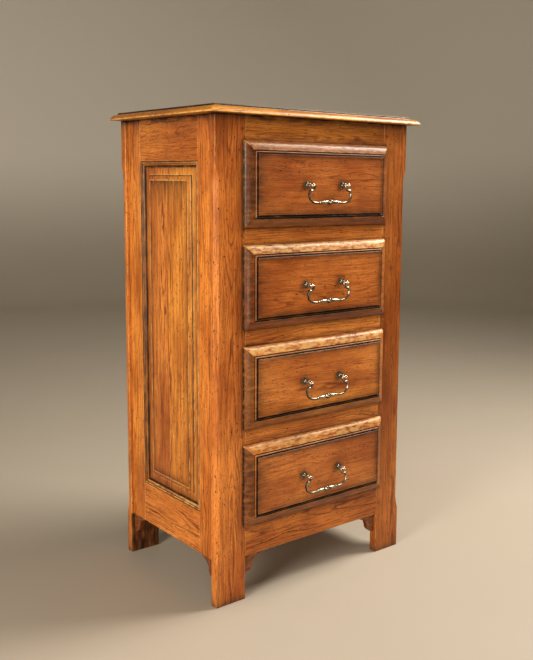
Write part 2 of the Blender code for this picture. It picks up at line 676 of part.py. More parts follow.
def smooth_path(nodes, per_span):
    """Catmull-Rom points through the nodes."""
    padded = [nodes[0], *nodes, nodes[-1]]
    points = []
    for a, b, c, d in zip(padded, padded[1:], padded[2:], padded[3:]):
        for i in range(per_span):
            t = i / per_span
            weights = (-t + 2 * t ** 2 - t ** 3, 2 - 5 * t ** 2 + 3 * t ** 3,
                       t + 4 * t ** 2 - 3 * t ** 3, t ** 3 - t ** 2)
            points.append(tuple(sum(w * v for w, v in zip(weights, values)) / 2
                                for values in zip(a, b, c, d)))
    points.append(nodes[-1])
    return points


def bail_half():
    """Centre line of the bail's right half, from its hinge pin down to the knop: x and z."""
    hinge = POST_SPACING / 2 - POST_HEAD_RADIUS - GAP - WIRE_RADIUS
    wide, drop = BAIL_HALF_WIDTH, BAIL_DROP
    neck = [(hinge, -NECK_TOP), (hinge + NECK_LEAN, -drop * 0.15), (hinge + NECK_FOOT, -drop * 0.285),
            (wide - CUSP_INSET, -drop * 0.315)]
    arm = [(wide - SHOULDER_INSET, -drop * 0.42), (wide, -drop * 0.56), (wide - ELBOW_INSET, -drop * 0.78),
           (wide * 0.80, -drop * 0.955)]
    bar = [(wide * 0.60, -drop), (wide * 0.34, -drop * 0.975), (0.0, -drop * BAIL_MIDDLE_DROP)]
    return smooth_path(neck + arm + bar, 2)


def bail_radius(x):
    """Wire radius along the lower bar: it swells towards the middle and ends in a ringed knop."""
    x = abs(x)
    if x < KNOP_RADIUS * 0.95:
        return math.sqrt(max(KNOP_RADIUS ** 2 - x * x, WIRE_RADIUS ** 2))
    reach = BAIL_HALF_WIDTH * SWELL_REACH
    if x < reach:
        swell = math.sin(math.pi * (x - KNOP_RADIUS) / (reach - KNOP_RADIUS))
        return WIRE_RADIUS + SWELL * max(swell, 0.0)
    return WIRE_RADIUS


def bail_route():
    """Points and radii of the whole bail, pin to pin."""
    lower_z = -BAIL_DROP * BAIL_MIDDLE_DROP
    half = [p for p in bail_half() if p[0] > KNOP_RADIUS * 1.3]
    hinge = half[0][0]
    half += [(KNOP_RADIUS * share, lower_z) for share in (1.15, 0.95, 0.7, 0.35)]
    right = [(hinge + PIN_LENGTH, 0.0, PIN_RADIUS), (hinge + PIN_LENGTH * 0.3, 0.0, PIN_RADIUS)]
    right += [(x, z, bail_radius(x)) for x, z in half]
    left = [(-x, z, radius) for x, z, radius in reversed(right)]
    return right + [(0.0, lower_z, KNOP_RADIUS)] + left


def build_bail(number, parent, look):
    """A bent rod whose turned-out pins hinge in the two post heads; its origin is on the hinge line."""
    name = f"drawer_{number}_bail"
    hinge = add_empty(f"{name}_hinge", (0, -(FRONT_PROUD + 2 * GAP) - POST_REACH, 0), parent)
    curve = bpy.data.curves.new(name, "CURVE")
    curve.dimensions = "3D"
    curve.bevel_depth = 1.0
    curve.bevel_resolution = 2
    curve.use_fill_caps = True
    route = bail_route()
    spline = curve.splines.new("POLY")
    spline.points.add(len(route) - 1)
    for point, (x, z, radius) in zip(spline.points, route):
        point.co = (x, 0, z, 1)
        point.radius = radius
    obj = add_curve_part(curve, look)
    obj.parent = hinge


def build_drawers(look, box_look, metal_look):
    for number, (low, high) in enumerate(opening_levels(), start=1):
        slide = add_empty(f"drawer_{number}_slide", (0, FACE_Y, (low + high) / 2))
        front = build_drawer_front(number, slide, look)
        build_drawer_box(number, slide, front, box_look)
        for side, label in ((-1, "left"), (1, "right")):
            build_post(number, side, label, slide, metal_look)
        build_bail(number, slide, metal_look)


def main():
    oak = (OAK, 0.32)
    dark_oak = (OAK_DARK, 0.35)
    inside = (OAK_INSIDE, 0.6)
    metal = (PEWTER, 0.35, 1.0)
    build_front_stiles(oak)
    build_front_rails(oak)
    build_web_frames(oak)
    build_back(oak, inside)
    build_side(-1, "left", oak, oak)
    build_side(1, "right", oak, oak)
    build_top(oak)
    build_brackets(dark_oak)
    build_drawers(oak, inside, metal)


main()
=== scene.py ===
"""Looks of the tall oak chest of drawers: worn wood, pewter pulls, floor, light and camera.

Metres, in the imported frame: +Z up, front towards -Y. Places come from the CAD nodes' boxes.
"""
import math
import random

import bmesh
import bpy
import numpy as np
from mathutils import Matrix, Vector, noise


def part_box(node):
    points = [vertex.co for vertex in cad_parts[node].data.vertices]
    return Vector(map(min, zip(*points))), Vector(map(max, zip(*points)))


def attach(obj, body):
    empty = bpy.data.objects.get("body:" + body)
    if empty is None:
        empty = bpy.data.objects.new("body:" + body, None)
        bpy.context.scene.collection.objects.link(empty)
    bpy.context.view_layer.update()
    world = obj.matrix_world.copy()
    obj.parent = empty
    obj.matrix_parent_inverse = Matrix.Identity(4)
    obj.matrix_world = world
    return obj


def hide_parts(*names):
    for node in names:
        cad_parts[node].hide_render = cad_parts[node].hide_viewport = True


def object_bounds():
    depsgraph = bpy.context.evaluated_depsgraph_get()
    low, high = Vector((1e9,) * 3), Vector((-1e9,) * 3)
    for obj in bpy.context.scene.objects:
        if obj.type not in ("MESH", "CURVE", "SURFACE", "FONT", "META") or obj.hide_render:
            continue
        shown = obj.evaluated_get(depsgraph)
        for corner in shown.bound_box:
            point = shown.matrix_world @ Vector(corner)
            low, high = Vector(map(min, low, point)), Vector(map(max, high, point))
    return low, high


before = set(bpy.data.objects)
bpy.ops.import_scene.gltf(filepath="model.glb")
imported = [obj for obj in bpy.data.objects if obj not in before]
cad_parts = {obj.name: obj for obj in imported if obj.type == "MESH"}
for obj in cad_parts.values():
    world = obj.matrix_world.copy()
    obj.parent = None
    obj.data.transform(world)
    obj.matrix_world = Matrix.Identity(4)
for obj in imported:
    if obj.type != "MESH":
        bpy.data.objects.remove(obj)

cad_low, cad_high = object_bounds()
noise.seed_set(1)                # noise_vector starts from the clock unless it is given a seed
BOX = {name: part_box(name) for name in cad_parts}

X, Y, Z = 0, 1, 2
EASE = 0.0013                    # rounding of a worn arris
CELL = 0.012                     # spacing of a board's cross lines
WOBBLE = 0.00028                 # hand-planed unevenness
WOBBLE_SCALE = 9.0
GAP = 0.0003                     # space between neighbouring pieces

# Sizes that the boxes don't give, as in the CAD source
CHAMFER = 0.008
CHAMFER_TAPER = 0.045
CHAMFER_TOP_MARGIN = 0.092
CHAMFER_FOOT_MARGIN = 0.012
BOARD = 0.020
PANEL_RECESS = 0.0075
SIDE_MOULDING = 0.0105           # stuck moulding round each side panel
FRONT_EDGE = 0.0018
FRONT_REBATE = 0.008
POST_SPACING = 0.1016
HEAD_RADIUS = 0.0046             # ball that a bail hangs in
FINIAL = 0.0035                  # button on the end of that ball
ROSETTE = 0.0098
BAIL_DROP = 0.038
BAIL_REACH = 0.0597              # half the width of a bail
DRAWERS = (1, 2, 3, 4)
SIDES = ((-1, "left"), (1, "right"))

# Light: place, diameter, power and colour of each lamp, and the strength of the surroundings
LIGHTS = (
    ("side_left", (-2.8, -1.0, 1.3), 1.1, 76, (1.0, 0.93, 0.82)),
    ("glare_right", (1.6, -0.62, 2.35), 1.2, 98, (1.0, 0.93, 0.84)),
    ("front_left", (-1.25, -1.8, 0.5), 0.8, 13, (1.0, 0.93, 0.82)),
)
AMBIENT = 0.11

RING_WIDTH = 0.0026              # one year's growth
BUMP = 0.00022                   # depth of the wood's open grain

# Tint of each board's colour, and how strong its grain is. The right front stile's darker tint also holds
# painted shade, the light's fall-off across the front.
INSIDE = (0.80, 0.80, 0.80)
PLAIN = (1.0, 1.0, 1.0)
PEG_TINT = (0.62, 0.55, 0.5)
LOWER_BOARD = (1.05, 1.1, 1.0, 0.6)
TINT = {
    "front_stile_left": (0.95, 0.88, 0.85, 1.0), "front_stile_right": (0.72, 0.65, 0.62, 0.9),
    "back_stile_left": (1, 1, 1, 1.0), "back_stile_right": (1, 1, 1, 1.0),
    "front_top_rail": (1.05, 1.15, 1.0, 1.0), "front_bottom_rail": (0.93, 0.9, 0.85, 1.2),
    "divider": (1, 1, 1, 0.9), "top": (1.03, 1.24, 0.85, 0.9), "moulding": (1.1, 1.2, 1.2, 0.6),
    "side_stile_front": (1.2, 1.2, 1, 0.9), "side_stile_back": (1.15, 1.18, 1, 0.9),
    "side_top_rail": (1, 1, 0.9, 0.7), "side_bottom_rail": (1.2, 1.25, 1.2, 1.0),
    "panel_back": (1, 1, 1, 1.5), "panel_front": (1.15, 1.3, 1.1, 1.3),
    "drawer_1_front": (0.76, 0.68, 0.75, 0.6), "drawer_2_front": (0.86, 0.78, 0.80, 0.75),
    "drawer_3_front": (1, 1, 1.1, 0.65), "drawer_4_front": (0.9, 0.87, 1.0, 0.65),
}

# Drawer fronts: the pith's place beside the board, the height of a glued seam (-0.2 is outside the board),
# and bends in the rings round old knots as (across, up, width, height, shift)
FRONT_PITH = {1: (-0.02, 0.040), 2: (0.035, 0.052), 3: (0.02, 0.043), 4: (-0.03, 0.050)}
LOWER_PITH = (0.012, 0.047)
FRONT_SEAM = {1: -0.2, 2: -0.2, 3: -0.034, 4: -0.2}
SWIRLS = {
    1: ((-0.07, 0.035, 0.04, 0.014, 0.014),),
    2: ((-0.108, 0.046, 0.030, 0.013, 0.020), (0.085, -0.004, 0.035, 0.012, 0.014)),
    3: ((-0.138, -0.020, 0.010, 0.008, 0.012),),
    4: ((0.05, 0.03, 0.05, 0.014, -0.016),),
}

# Painted shade and painted highlight of the moulded borders. Fronts: left, right, lower and upper run, each
# with the painted shade of its slope and of its bead, and the wear and painted highlight of its slope. Side
# panels: painted shade of the lower, rear, upper and front run.
SLOPES = {
    1: ((0.72, 0.50, 0.0), (0.35, 0.5, 0.0), (0.55, 1.0, 0.0), (0.25, 0.5, 0.3)),
    2: ((0.64, 0.45, 0.0), (0.15, 0.5, 0.1), (0.52, 0.95, 0.0), (0.0, 0.3, 1.0)),
    3: ((0.62, 0.40, 0.0), (0.10, 0.5, 0.1), (0.45, 0.95, 0.0), (0.0, 0.3, 0.9)),
    4: ((0.68, 0.45, 0.0), (0.20, 0.6, 0.0), (0.52, 0.95, 0.0), (0.1, 0.4, 0.75)),
}
MOULDING_SHADE = (0.0, 0.62, 0.45, 0.30)


# ---- Camera

def set_camera():
    """A three-quarter view from the front left. The lens and its shift place the chest in the frame."""
    width, height, focal = 533, 660, 877.71
    axis_x, axis_y = 306.32, 301.11
    yaw, pitch, roll = 0.69314, 0.1362, 0.0105
    middle_y = (BOX["back_stile_left"][1].y + BOX["front_stile_left"][0].y) / 2
    forward = Vector((math.sin(yaw) * math.cos(pitch), math.cos(yaw) * math.cos(pitch), -math.sin(pitch)))
    level = Vector((math.cos(yaw), -math.sin(yaw), 0))
    upright = level.cross(forward)
    right = math.cos(roll) * level + math.sin(roll) * upright
    up = math.cos(roll) * upright - math.sin(roll) * level
    camera = bpy.data.objects.new("camera", bpy.data.cameras.new("camera"))
    bpy.context.scene.collection.objects.link(camera)
    camera.matrix_world = Matrix((right, up, -forward)).transposed().to_4x4()
    camera.location = (-1.26121, -1.67500 + middle_y, 0.90904)
    camera.data.sensor_width = 36
    camera.data.lens = focal / height * 36
    camera.data.shift_x = (width / 2 - axis_x) / height
    camera.data.shift_y = (axis_y - height / 2) / height
    camera.data.clip_start = 0.05
    bpy.context.scene.camera = camera


# ---- Materials

class Graph:
    """Makes a material's nodes. Every call gives back an output socket."""

    def __init__(self, name):
        self.material = bpy.data.materials.new(name)
        self.material.use_nodes = True
        self.tree = self.material.node_tree
        self.tree.nodes.clear()

    def node(self, kind, inputs, out=0, **settings):
        made = self.tree.nodes.new("ShaderNode" + kind)
        for key, value in settings.items():
            setattr(made, key, value)
        for key, value in inputs.items():
            if isinstance(value, bpy.types.NodeSocket):
                self.tree.links.new(value, made.inputs[key])
            else:
                made.inputs[key].default_value = value
        return made.outputs[out] if len(made.outputs) else None

    def attribute(self, name, out):
        return self.node("Attribute", {}, out, attribute_name=name)

    def math(self, operation, a, b=0.0, clamp=False):
        return self.node("Math", {0: a, 1: b}, operation=operation, use_clamp=clamp)

    def add(self, a, b, clamp=False):
        return self.math("ADD", a, b, clamp)

    def times(self, a, b, clamp=False):
        return self.math("MULTIPLY", a, b, clamp)

    def noise(self, vector, detail=2.0, roughness=0.5, scale=1.0):
        settings = {"Vector": vector, "Scale": scale, "Detail": detail, "Roughness": roughness}
        return self.node("TexNoise", settings)

    def stretch(self, vector, along, across):
        return self.node("VectorMath", {0: vector, 1: (along, across, across)}, operation="MULTIPLY")

    def band(self, value, low, high, to_low=0.0, to_high=1.0):
        return self.node("MapRange", {"Value": value, "From Min": low, "From Max": high,
                                      "To Min": to_low, "To Max": to_high}, interpolation_type="SMOOTHSTEP")

    def mix(self, factor, a, b, blend="MIX"):
        return self.node("Mix", {0: factor, 6: a, 7: b}, 2, data_type="RGBA", blend_type=blend)

    def finish(self, colour, roughness, height, depth, **constants):
        """Principled shader with a bump of that height map and depth, and constant settings."""
        normal = self.node("Bump", {"Strength": 1.0, "Distance": depth, "Height": height})
        shader = self.node("BsdfPrincipled", {"Base Color": colour, "Roughness": roughness, "Normal": normal})
        for key, value in constants.items():
            shader.node.inputs[key.replace("_", " ")].default_value = value
        self.node("OutputMaterial", {"Surface": shader})
        return self.material


def oak(name, light, dark, grime_colour, wear_colour, gloss=0.31, coat=0.12, patch=1.0):
    """Solid oak: growth rings round a pith, pores and rays along the grain, patina and worn arrises, with
    painted highlight and painted shade laid on by the wear and grime attributes.
    """
    g = Graph(name)
    grain = g.attribute("grain", 1)

    def cloudy(along, across, detail=2.0, roughness=0.5):
        return g.noise(g.stretch(grain, along, across), detail, roughness)

    split = g.node("SeparateXYZ", {0: grain}, 1)
    depth = split.node.outputs[2]
    bend = cloudy(2.2, 13, 2.0)
    ripple = cloudy(14, 60, 2.0)
    radius = g.math("SQRT", g.add(g.times(split, split), g.times(depth, depth)))
    for shift in (g.times(bend, 0.034), g.times(ripple, 0.0042), g.attribute("swirl", 2)):
        radius = g.add(radius, shift)
    rings = g.math("DIVIDE", radius, RING_WIDTH)
    phase = g.math("FRACT", rings)
    year = g.node("TexNoise", {"W": g.times(rings, 0.45), "Scale": 1.0, "Detail": 2.0},
                  noise_dimensions="1D")
    early = g.add(g.band(phase, 0.0, 0.42, 1.0, 0.0), g.band(phase, 0.86, 1.0))
    pores = g.band(cloudy(70, 1300, 1.0), 0.56, 0.66)
    pores = g.times(pores, g.add(g.times(early, 0.65), 0.35))
    rays = g.band(cloudy(75, 430, 1.0), 0.615, 0.69)
    fine = cloudy(24, 380, 2.0)
    streak = cloudy(5, 150, 3.0, 0.6)
    fibre = cloudy(26, 1900, 1.0)
    cloud = cloudy(4.5, 9, 3.0, 0.6)
    dark_part = g.times(early, g.band(year, 0.30, 0.70, 0.15, 0.75))
    dark_part = g.add(dark_part, g.band(streak, 0.36, 0.68, -0.10, 0.36))
    dark_part = g.add(dark_part, g.times(g.math("SUBTRACT", fibre, 0.5), 0.35))
    dark_part = g.add(dark_part, g.band(fine, 0.32, 0.68, -0.22, 0.22))
    dark_part = g.times(g.math("SUBTRACT", dark_part, 0.25), g.attribute("tint", 3))
    dark_part = g.add(dark_part, 0.30, True)
    colour = g.mix(dark_part, (*light, 1), (*dark, 1))
    colour = g.mix(1.0, colour, g.attribute("tint", 0), "MULTIPLY")
    shade = g.band(cloud, 0.30, 0.70, 1 - 0.34 * patch, 1 + 0.24 * patch)
    value = g.node("CombineXYZ", {0: shade, 1: g.math("POWER", shade, 1.45), 2: g.math("POWER", shade, 1.6)})
    colour = g.mix(1.0, colour, value, "MULTIPLY")
    marks = g.math("MAXIMUM", g.times(pores, 0.60), g.times(rays, 0.52))
    colour = g.mix(marks, colour, (*[c * 0.45 for c in dark], 1))
    # The wear attribute lightens worn arrises and also paints highlights, in the wear colour.
    worn_and_lit = g.times(g.times(g.attribute("wear", 2), 0.6), g.band(cloudy(60, 160, 3.0), 0.36, 0.62))
    colour = g.mix(worn_and_lit, colour, (*wear_colour, 1))
    # The grime attribute darkens real grime and also paints shade, in the grime colour.
    dirt_and_shade = g.times(g.attribute("grime", 2), g.band(cloudy(30, 110, 3.0), 0.20, 0.72, 0.72, 1.25), True)
    spots = g.node("TexVoronoi", {"Vector": g.stretch(grain, 52, 84), "Scale": 1.0})
    spots = g.times(g.band(spots, 0.07, 0.16, 1.0, 0.0), g.band(bend, 0.40, 0.50, 0.0, 0.9))
    dots = g.node("TexVoronoi", {"Vector": g.stretch(grain, 105, 170), "Scale": 1.0})
    dots = g.times(g.band(dots, 0.10, 0.20, 0.75, 0.0), g.band(cloud, 0.45, 0.60))
    spots = g.math("MAXIMUM", spots, dots)
    colour = g.mix(g.math("MAXIMUM", dirt_and_shade, spots), colour, (*grime_colour, 1))
    rough = g.add(gloss, g.times(marks, 0.25))
    rough = g.add(rough, g.times(g.math("SUBTRACT", cloud, 0.5), 0.22))
    rough = g.add(rough, g.times(dirt_and_shade, 0.05))
    height = g.math("SUBTRACT", g.times(streak, 0.5), g.add(marks, spots))
    height = g.add(height, g.times(fibre, 0.25))
    return g.finish(colour, rough, height, BUMP, Coat_Weight=coat, Coat_Roughness=0.2,
                    Specular_IOR_Level=0.24, Specular_Tint=(1.0, 0.84, 0.62, 1))


def pewter():
    """Aged silver-brass: bright where it is rubbed, nearly black in the hollows, and darkened as painted shade
    on the sides of the bails turned down, out and towards the drawer.
    """
    g = Graph("aged_pewter")
    place = g.node("TexCoord", {}, 3)
    blotch = g.noise(place, 4.0, 0.6, 260.0)
    pits = g.noise(place, 2.0, 0.5, 1500.0)
    dirt_and_shade = g.times(g.attribute("grime", 2), g.band(blotch, 0.25, 0.75, 0.75, 1.2), True)
    colour = g.mix(g.band(blotch, 0.35, 0.65), (0.36, 0.30, 0.21, 1), (0.72, 0.65, 0.50, 1))
    colour = g.mix(dirt_and_shade, colour, (0.012, 0.009, 0.006, 1))
    rough = g.add(g.times(blotch, 0.20), g.times(dirt_and_shade, 0.30))
    rough = g.add(rough, 0.09)
    height = g.add(blotch, g.times(pits, 0.4))
    return g.finish(colour, rough, height, 0.0002, Metallic=1.0)


# ---- Geometry

class Board:
    """How the wood lies in a shell: the axis along its grain, the axis across its face, and its pith."""

    def __init__(self, low, high, along, depth, seed, tint=(1, 1, 1), cut="flat", pith=None):
        draw = random.Random(seed)
        self.centre = np.array([(a + b) / 2 for a, b in zip(low, high)])
        self.order = [along, 3 - along - depth, depth]
        self.tint = (*tint[:3], tint[3] if len(tint) > 3 else 1.0)
        run, turn = draw.uniform(-4, 4), draw.choice((-1, 1))
        if pith:
            self.shift = np.array([run, *pith])
        elif cut == "flat":
            self.shift = np.array([run, draw.uniform(-0.03, 0.03), turn * draw.uniform(0.030, 0.055)])
        else:
            self.shift = np.array([run, turn * draw.uniform(0.09, 0.14), draw.uniform(-0.03, 0.03)])


class Piece:
    """Collects closed shells, each cut from a board, and makes one object of them."""

    def __init__(self):
        self.points, self.faces, self.owners, self.boards = [], [], [], []
        self.wear, self.grime, self.swirl = [], [], []

    def shell(self, points, faces, board, wear=None, grime=None, pick=None, swirl=None):
        """Add a shell. board may be a list, when pick gives the board's place in it for a face's middle."""
        start = len(self.points)
        boards = board if isinstance(board, list) else [board]
        first = len(self.boards)
        self.boards += boards
        self.points += [Vector(p) for p in points]
        self.wear += wear or [0.0] * len(points)
        self.grime += grime or [0.0] * len(points)
        self.swirl += swirl or [0.0] * len(points)
        for face in faces:
            self.faces.append([start + i for i in face])
            middle = sum((Vector(points[i]) for i in face), Vector()) / len(face) if pick else None
            self.owners.append(first + (pick(middle) if pick else 0))

    def make(self, name, material, body, nodes=(), angle=38, wobble=WOBBLE, patina_and_light=None):
        """One object from the shells, riding on body and standing for the CAD nodes."""
        rest = np.array([tuple(p) for p in self.points])
        moved = [p + wobble * noise.noise_vector(p * WOBBLE_SCALE) for p in self.points]
        self.points = np.clip([tuple(p) for p in moved], cad_low, cad_high).tolist()
        mesh = bpy.data.meshes.new(name)
        mesh.from_pydata(self.points, [], self.faces)
        bm = bmesh.new()
        bm.from_mesh(mesh)
        bmesh.ops.recalc_face_normals(bm, faces=bm.faces)
        bm.to_mesh(mesh)
        bm.free()
        mesh.shade_smooth()
        mesh.set_sharp_from_angle(angle=math.radians(angle))
        self.paint(mesh, rest, patina_and_light)
        mesh.materials.append(material)
        obj = bpy.data.objects.new(name, mesh)
        bpy.context.scene.collection.objects.link(obj)
        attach(obj, body)
        if nodes:
            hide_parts(*nodes)
        return obj

    def paint(self, mesh, rest, patina_and_light):
        """Store each face corner's place in its board, its tint, and each point's wear and grime, which also
        carry painted highlight and painted shade.
        """
        corners = np.zeros(len(mesh.loops), int)
        mesh.loops.foreach_get("vertex_index", corners)
        totals = [len(p.vertices) for p in mesh.polygons]
        owner = np.repeat(self.owners, totals)
        grain, tint = np.zeros((len(corners), 3)), np.zeros((len(corners), 4))
        for index, board in enumerate(self.boards):
            mine = owner == index
            local = rest[corners[mine]] - board.centre
            grain[mine] = local[:, board.order] + board.shift
            tint[mine] = board.tint
        wear, grime = np.array(self.wear), np.array(self.grime)
        if patina_and_light:
            more_wear, more_grime = patina_and_light(rest)
            wear, grime = np.maximum(wear, more_wear), np.maximum(grime, more_grime)
        for name, kind, domain, field, values in (
                ("grain", "FLOAT_VECTOR", "CORNER", "vector", grain),
                ("tint", "FLOAT_COLOR", "CORNER", "color", tint),
                ("wear", "FLOAT", "POINT", "value", wear), ("grime", "FLOAT", "POINT", "value", grime),
                ("swirl", "FLOAT", "POINT", "value", self.swirl)):
            layer = mesh.attributes.new(name, kind, domain)
            layer.data.foreach_set(field, np.asarray(values, np.float32).ravel())


def steps_between(low, high, cell, margin=0.003):
    """Places from low to high: one margin in from each end, and about a cell apart between."""
    inner_low, inner_high = low + margin, high - margin
    count = max(1, round((inner_high - inner_low) / cell))
    return [inner_low + (inner_high - inner_low) * i / count for i in range(count + 1)]


def turn_corner(ease, chamfer):
    """Distances from a corner, along the side that leads to it and along the side that leaves it."""
    angles = [math.radians(18 * i) for i in range(6)]
    rounded = [(ease * (1 - math.sin(t)), ease * (1 - math.cos(t))) for t in angles]
    if chamfer <= 0:
        return rounded
    far = max(chamfer - 0.7 * ease, 0.3 * ease)
    slant = [(chamfer + ease, 0), (chamfer, 0.1 * ease), (far, 0.75 * ease),
             (0.75 * ease, far), (0.1 * ease, chamfer), (0, chamfer + ease)]
    share = min(chamfer / (2 * ease), 1.0)
    return [tuple(p + (q - p) * share for p, q in zip(a, b)) for a, b in zip(rounded, slant)]


def section(v, w, ease, lines, chamfer, shrink):
    """Outline of a board's end: v and w are (low, high), and lines are the places of points along v."""
    v0, v1, w0, w1 = v[0] + shrink, v[1] - shrink, w[0] + shrink, w[1] - shrink
    first = [(v0 + b, w0 + a) for a, b in turn_corner(ease, chamfer)]
    outline = first + [(x, w0) for x in lines if first[-1][0] < x - 0.0002]
    missing = len(lines) - (len(outline) - len(first))
    outline[len(first):len(first)] = [(first[-1][0] + 0.00002 * (i + 1), w0) for i in range(missing)]
    outline += [(v1 - a, w0 + b) for a, b in turn_corner(ease, 0)]
    outline += [(v1, (w0 + w1) / 2)]
    outline += [(v1 - b, w1 - a) for a, b in turn_corner(ease, 0)]
    outline += [(x, w1) for x in reversed(lines)]
    outline += [(v0 + a, w1 - b) for a, b in turn_corner(ease, 0)]
    outline += [(v0, (w0 + w1) / 2 + (chamfer / 2))]
    return outline


def ring_faces(rings, count):
    """Quads between rings of points, each ring count points long."""
    ring = [(j, (j + 1) % count) for j in range(count)]
    return [[low + a, low + b, low + count + b, low + count + a]
            for low in range(0, (rings - 1) * count, count) for a, b in ring]


def loft(piece, sections, board, wear=None, **more):
    """A closed shell through outlines that have the same number of points."""
    count = len(sections[0])
    points = [p for outline in sections for p in outline]
    faces = ring_faces(len(sections), count)
    faces += [list(range(count)), list(range(len(points) - count, len(points)))]
    piece.shell(points, faces, board, wear, **more)


def bar(piece, low, high, along, depth, seed, ease=EASE, cell=CELL, chamfer=None, flip=(False, False),
        tint=(1, 1, 1)):
    """A board with worn edges. chamfer gives the depth of the corner's chamfer at a place along it."""
    across = 3 - along - depth
    u, v, w = [(low[axis], high[axis]) for axis in (along, across, depth)]
    board = Board(low, high, along, depth, seed, tint)
    lines = steps_between(*v, cell)
    levels = steps_between(*u, cell)
    if chamfer:
        levels = sorted(set(levels + chamfer_levels()))
    ends = [(u[0], ease), (u[0] + ease * 0.3, ease * 0.3), (u[0] + ease, 0)]
    levels = ends + [(x, 0) for x in levels if u[0] + ease < x < u[1] - ease]
    levels += [(u[0] + u[1] - x, shrink) for x, shrink in reversed(ends)]
    mirror = [(lambda a, r=r: r[0] + r[1] - a) if turned else (lambda a: a)
              for r, turned in zip((v, w), flip)]
    sections, wear = [], []
    for level, shrink in levels:
        cut = chamfer(level) if chamfer else 0.0
        outline = section(v, w, ease, lines, cut, shrink)
        placed = []
        for a, b in outline:
            point = [0, 0, 0]
            point[along], point[across], point[depth] = level, mirror[0](a), mirror[1](b)
            placed.append(tuple(point))
            # Eased arrises are lightened, wear and painted highlight.
            near = min(a - v[0], v[1] - a) < ease * 0.9 and min(b - w[0], w[1] - b) < ease * 0.9
            wear.append(0.55 if near or shrink else 0.0)
        sections.append(placed)
    loft(piece, sections, board, wear)


def slab(piece, size, rings, place, board, cells=(CELL, CELL), sides=(1, 1, 1, 1), corner=0.0, relief=None,
         extra=((), ()), field_grime=None, field_wear=None, swirl=None, pick=None):
    """A moulded board. rings are (inset, height, wear, grime) from the back edge up to the field; the wear
    also paints highlight and the grime also paints shade.
    """
    fractions = []
    for length, cell, more in zip(size, cells, extra):
        lines = {0.0, 1.0} | {(x + length / 2) / length for x in more}
        lines |= {x / length for x in steps_between(0, length, cell, 0.0022)}
        fractions.append(sorted(lines))
    fa, fb = fractions
    na, nb = len(fa) - 1, len(fb) - 1
    loop = [(i, 0) for i in range(na)] + [(na, j) for j in range(nb)]
    loop += [(i, nb) for i in range(na, 0, -1)] + [(0, j) for j in range(nb, 0, -1)]

    def spread(i, j, inset, pull=0.0):
        low_a, high_a = -size[0] / 2 + inset * sides[0], size[0] / 2 - inset * sides[1]
        low_b, high_b = -size[1] / 2 + inset * sides[2], size[1] / 2 - inset * sides[3]
        a, b = low_a + fa[i] * (high_a - low_a), low_b + fb[j] * (high_b - low_b)
        if pull and i in (0, na) and j in (0, nb):
            a, b = a + (pull if i == 0 else -pull), b + (pull if j == 0 else -pull)
        return a, b

    points, wear, grime, knots, count = [], [], [], [], len(loop)
    for inset, height, worn_and_lit, dirty_and_shaded in rings:
        pull = corner * max(0.0, 1 - inset / 0.02)
        for i, j in loop:
            a, b = spread(i, j, inset, pull)
            points.append(place(a, b, height))
            wear.append(worn_and_lit)
            grime.append(dirty_and_shaded)
            knots.append(swirl(a, b) if swirl else 0.0)
    faces = ring_faces(len(rings), count)
    faces.append(list(range(count)))
    inset, height = rings[-1][:2]
    index = {key: (len(rings) - 1) * count + k for k, key in enumerate(loop)}
    for i in range(1, na):
        for j in range(1, nb):
            a, b = spread(i, j, inset)
            index[(i, j)] = len(points)
            points.append(place(a, b, height + (relief(a, b) if relief else 0.0)))
            wear.append(field_wear(a, b) if field_wear else 0.0)
            grime.append(field_grime(a, b) if field_grime else 0.0)
            knots.append(swirl(a, b) if swirl else 0.0)
    faces += [[index[(i, j)], index[(i + 1, j)], index[(i + 1, j + 1)], index[(i, j + 1)]]
              for i in range(na) for j in range(nb)]
    piece.shell(points, faces, board, wear, grime, pick, knots)


def arc_rings(start, end, first, last, count, wear=0.0, grime=0.0):
    """Rings along an elliptical arc between two (inset, height) places; angles in degrees."""
    angles = [math.radians(first + (last - first) * i / count) for i in range(count + 1)]
    across = [1 - math.cos(t) for t in angles]
    up = [math.sin(t) for t in angles]
    return [(start[0] + (end[0] - start[0]) * (c - across[0]) / (across[-1] - across[0]),
             start[1] + (end[1] - start[1]) * (s - up[0]) / (up[-1] - up[0]), wear, grime)
            for c, s in zip(across[1:], up[1:])]


def turned(piece, centre, axis, profile, board, sides=20, outline=None, grime=None):
    """A turned shape: profile is (radius, distance along axis), and outline scales the radius by angle."""
    axis = Vector(axis).normalized()
    side = axis.cross(Vector((0, 0, 1))).normalized()
    up = side.cross(axis)
    sections, dirt_and_shade = [], []
    for number, (radius, distance) in enumerate(profile):
        ring = []
        for i in range(sides):
            t = 2 * math.pi * i / sides
            r = radius * (outline(t, number) if outline else 1.0)
            ring.append(Vector(centre) + axis * distance + side * (r * math.cos(t)) + up * (r * math.sin(t)))
            dirt_and_shade.append(grime[number] if grime else 0.0)
        sections.append(ring)
    loft(piece, sections, board, grime=dirt_and_shade)


# ---- Places

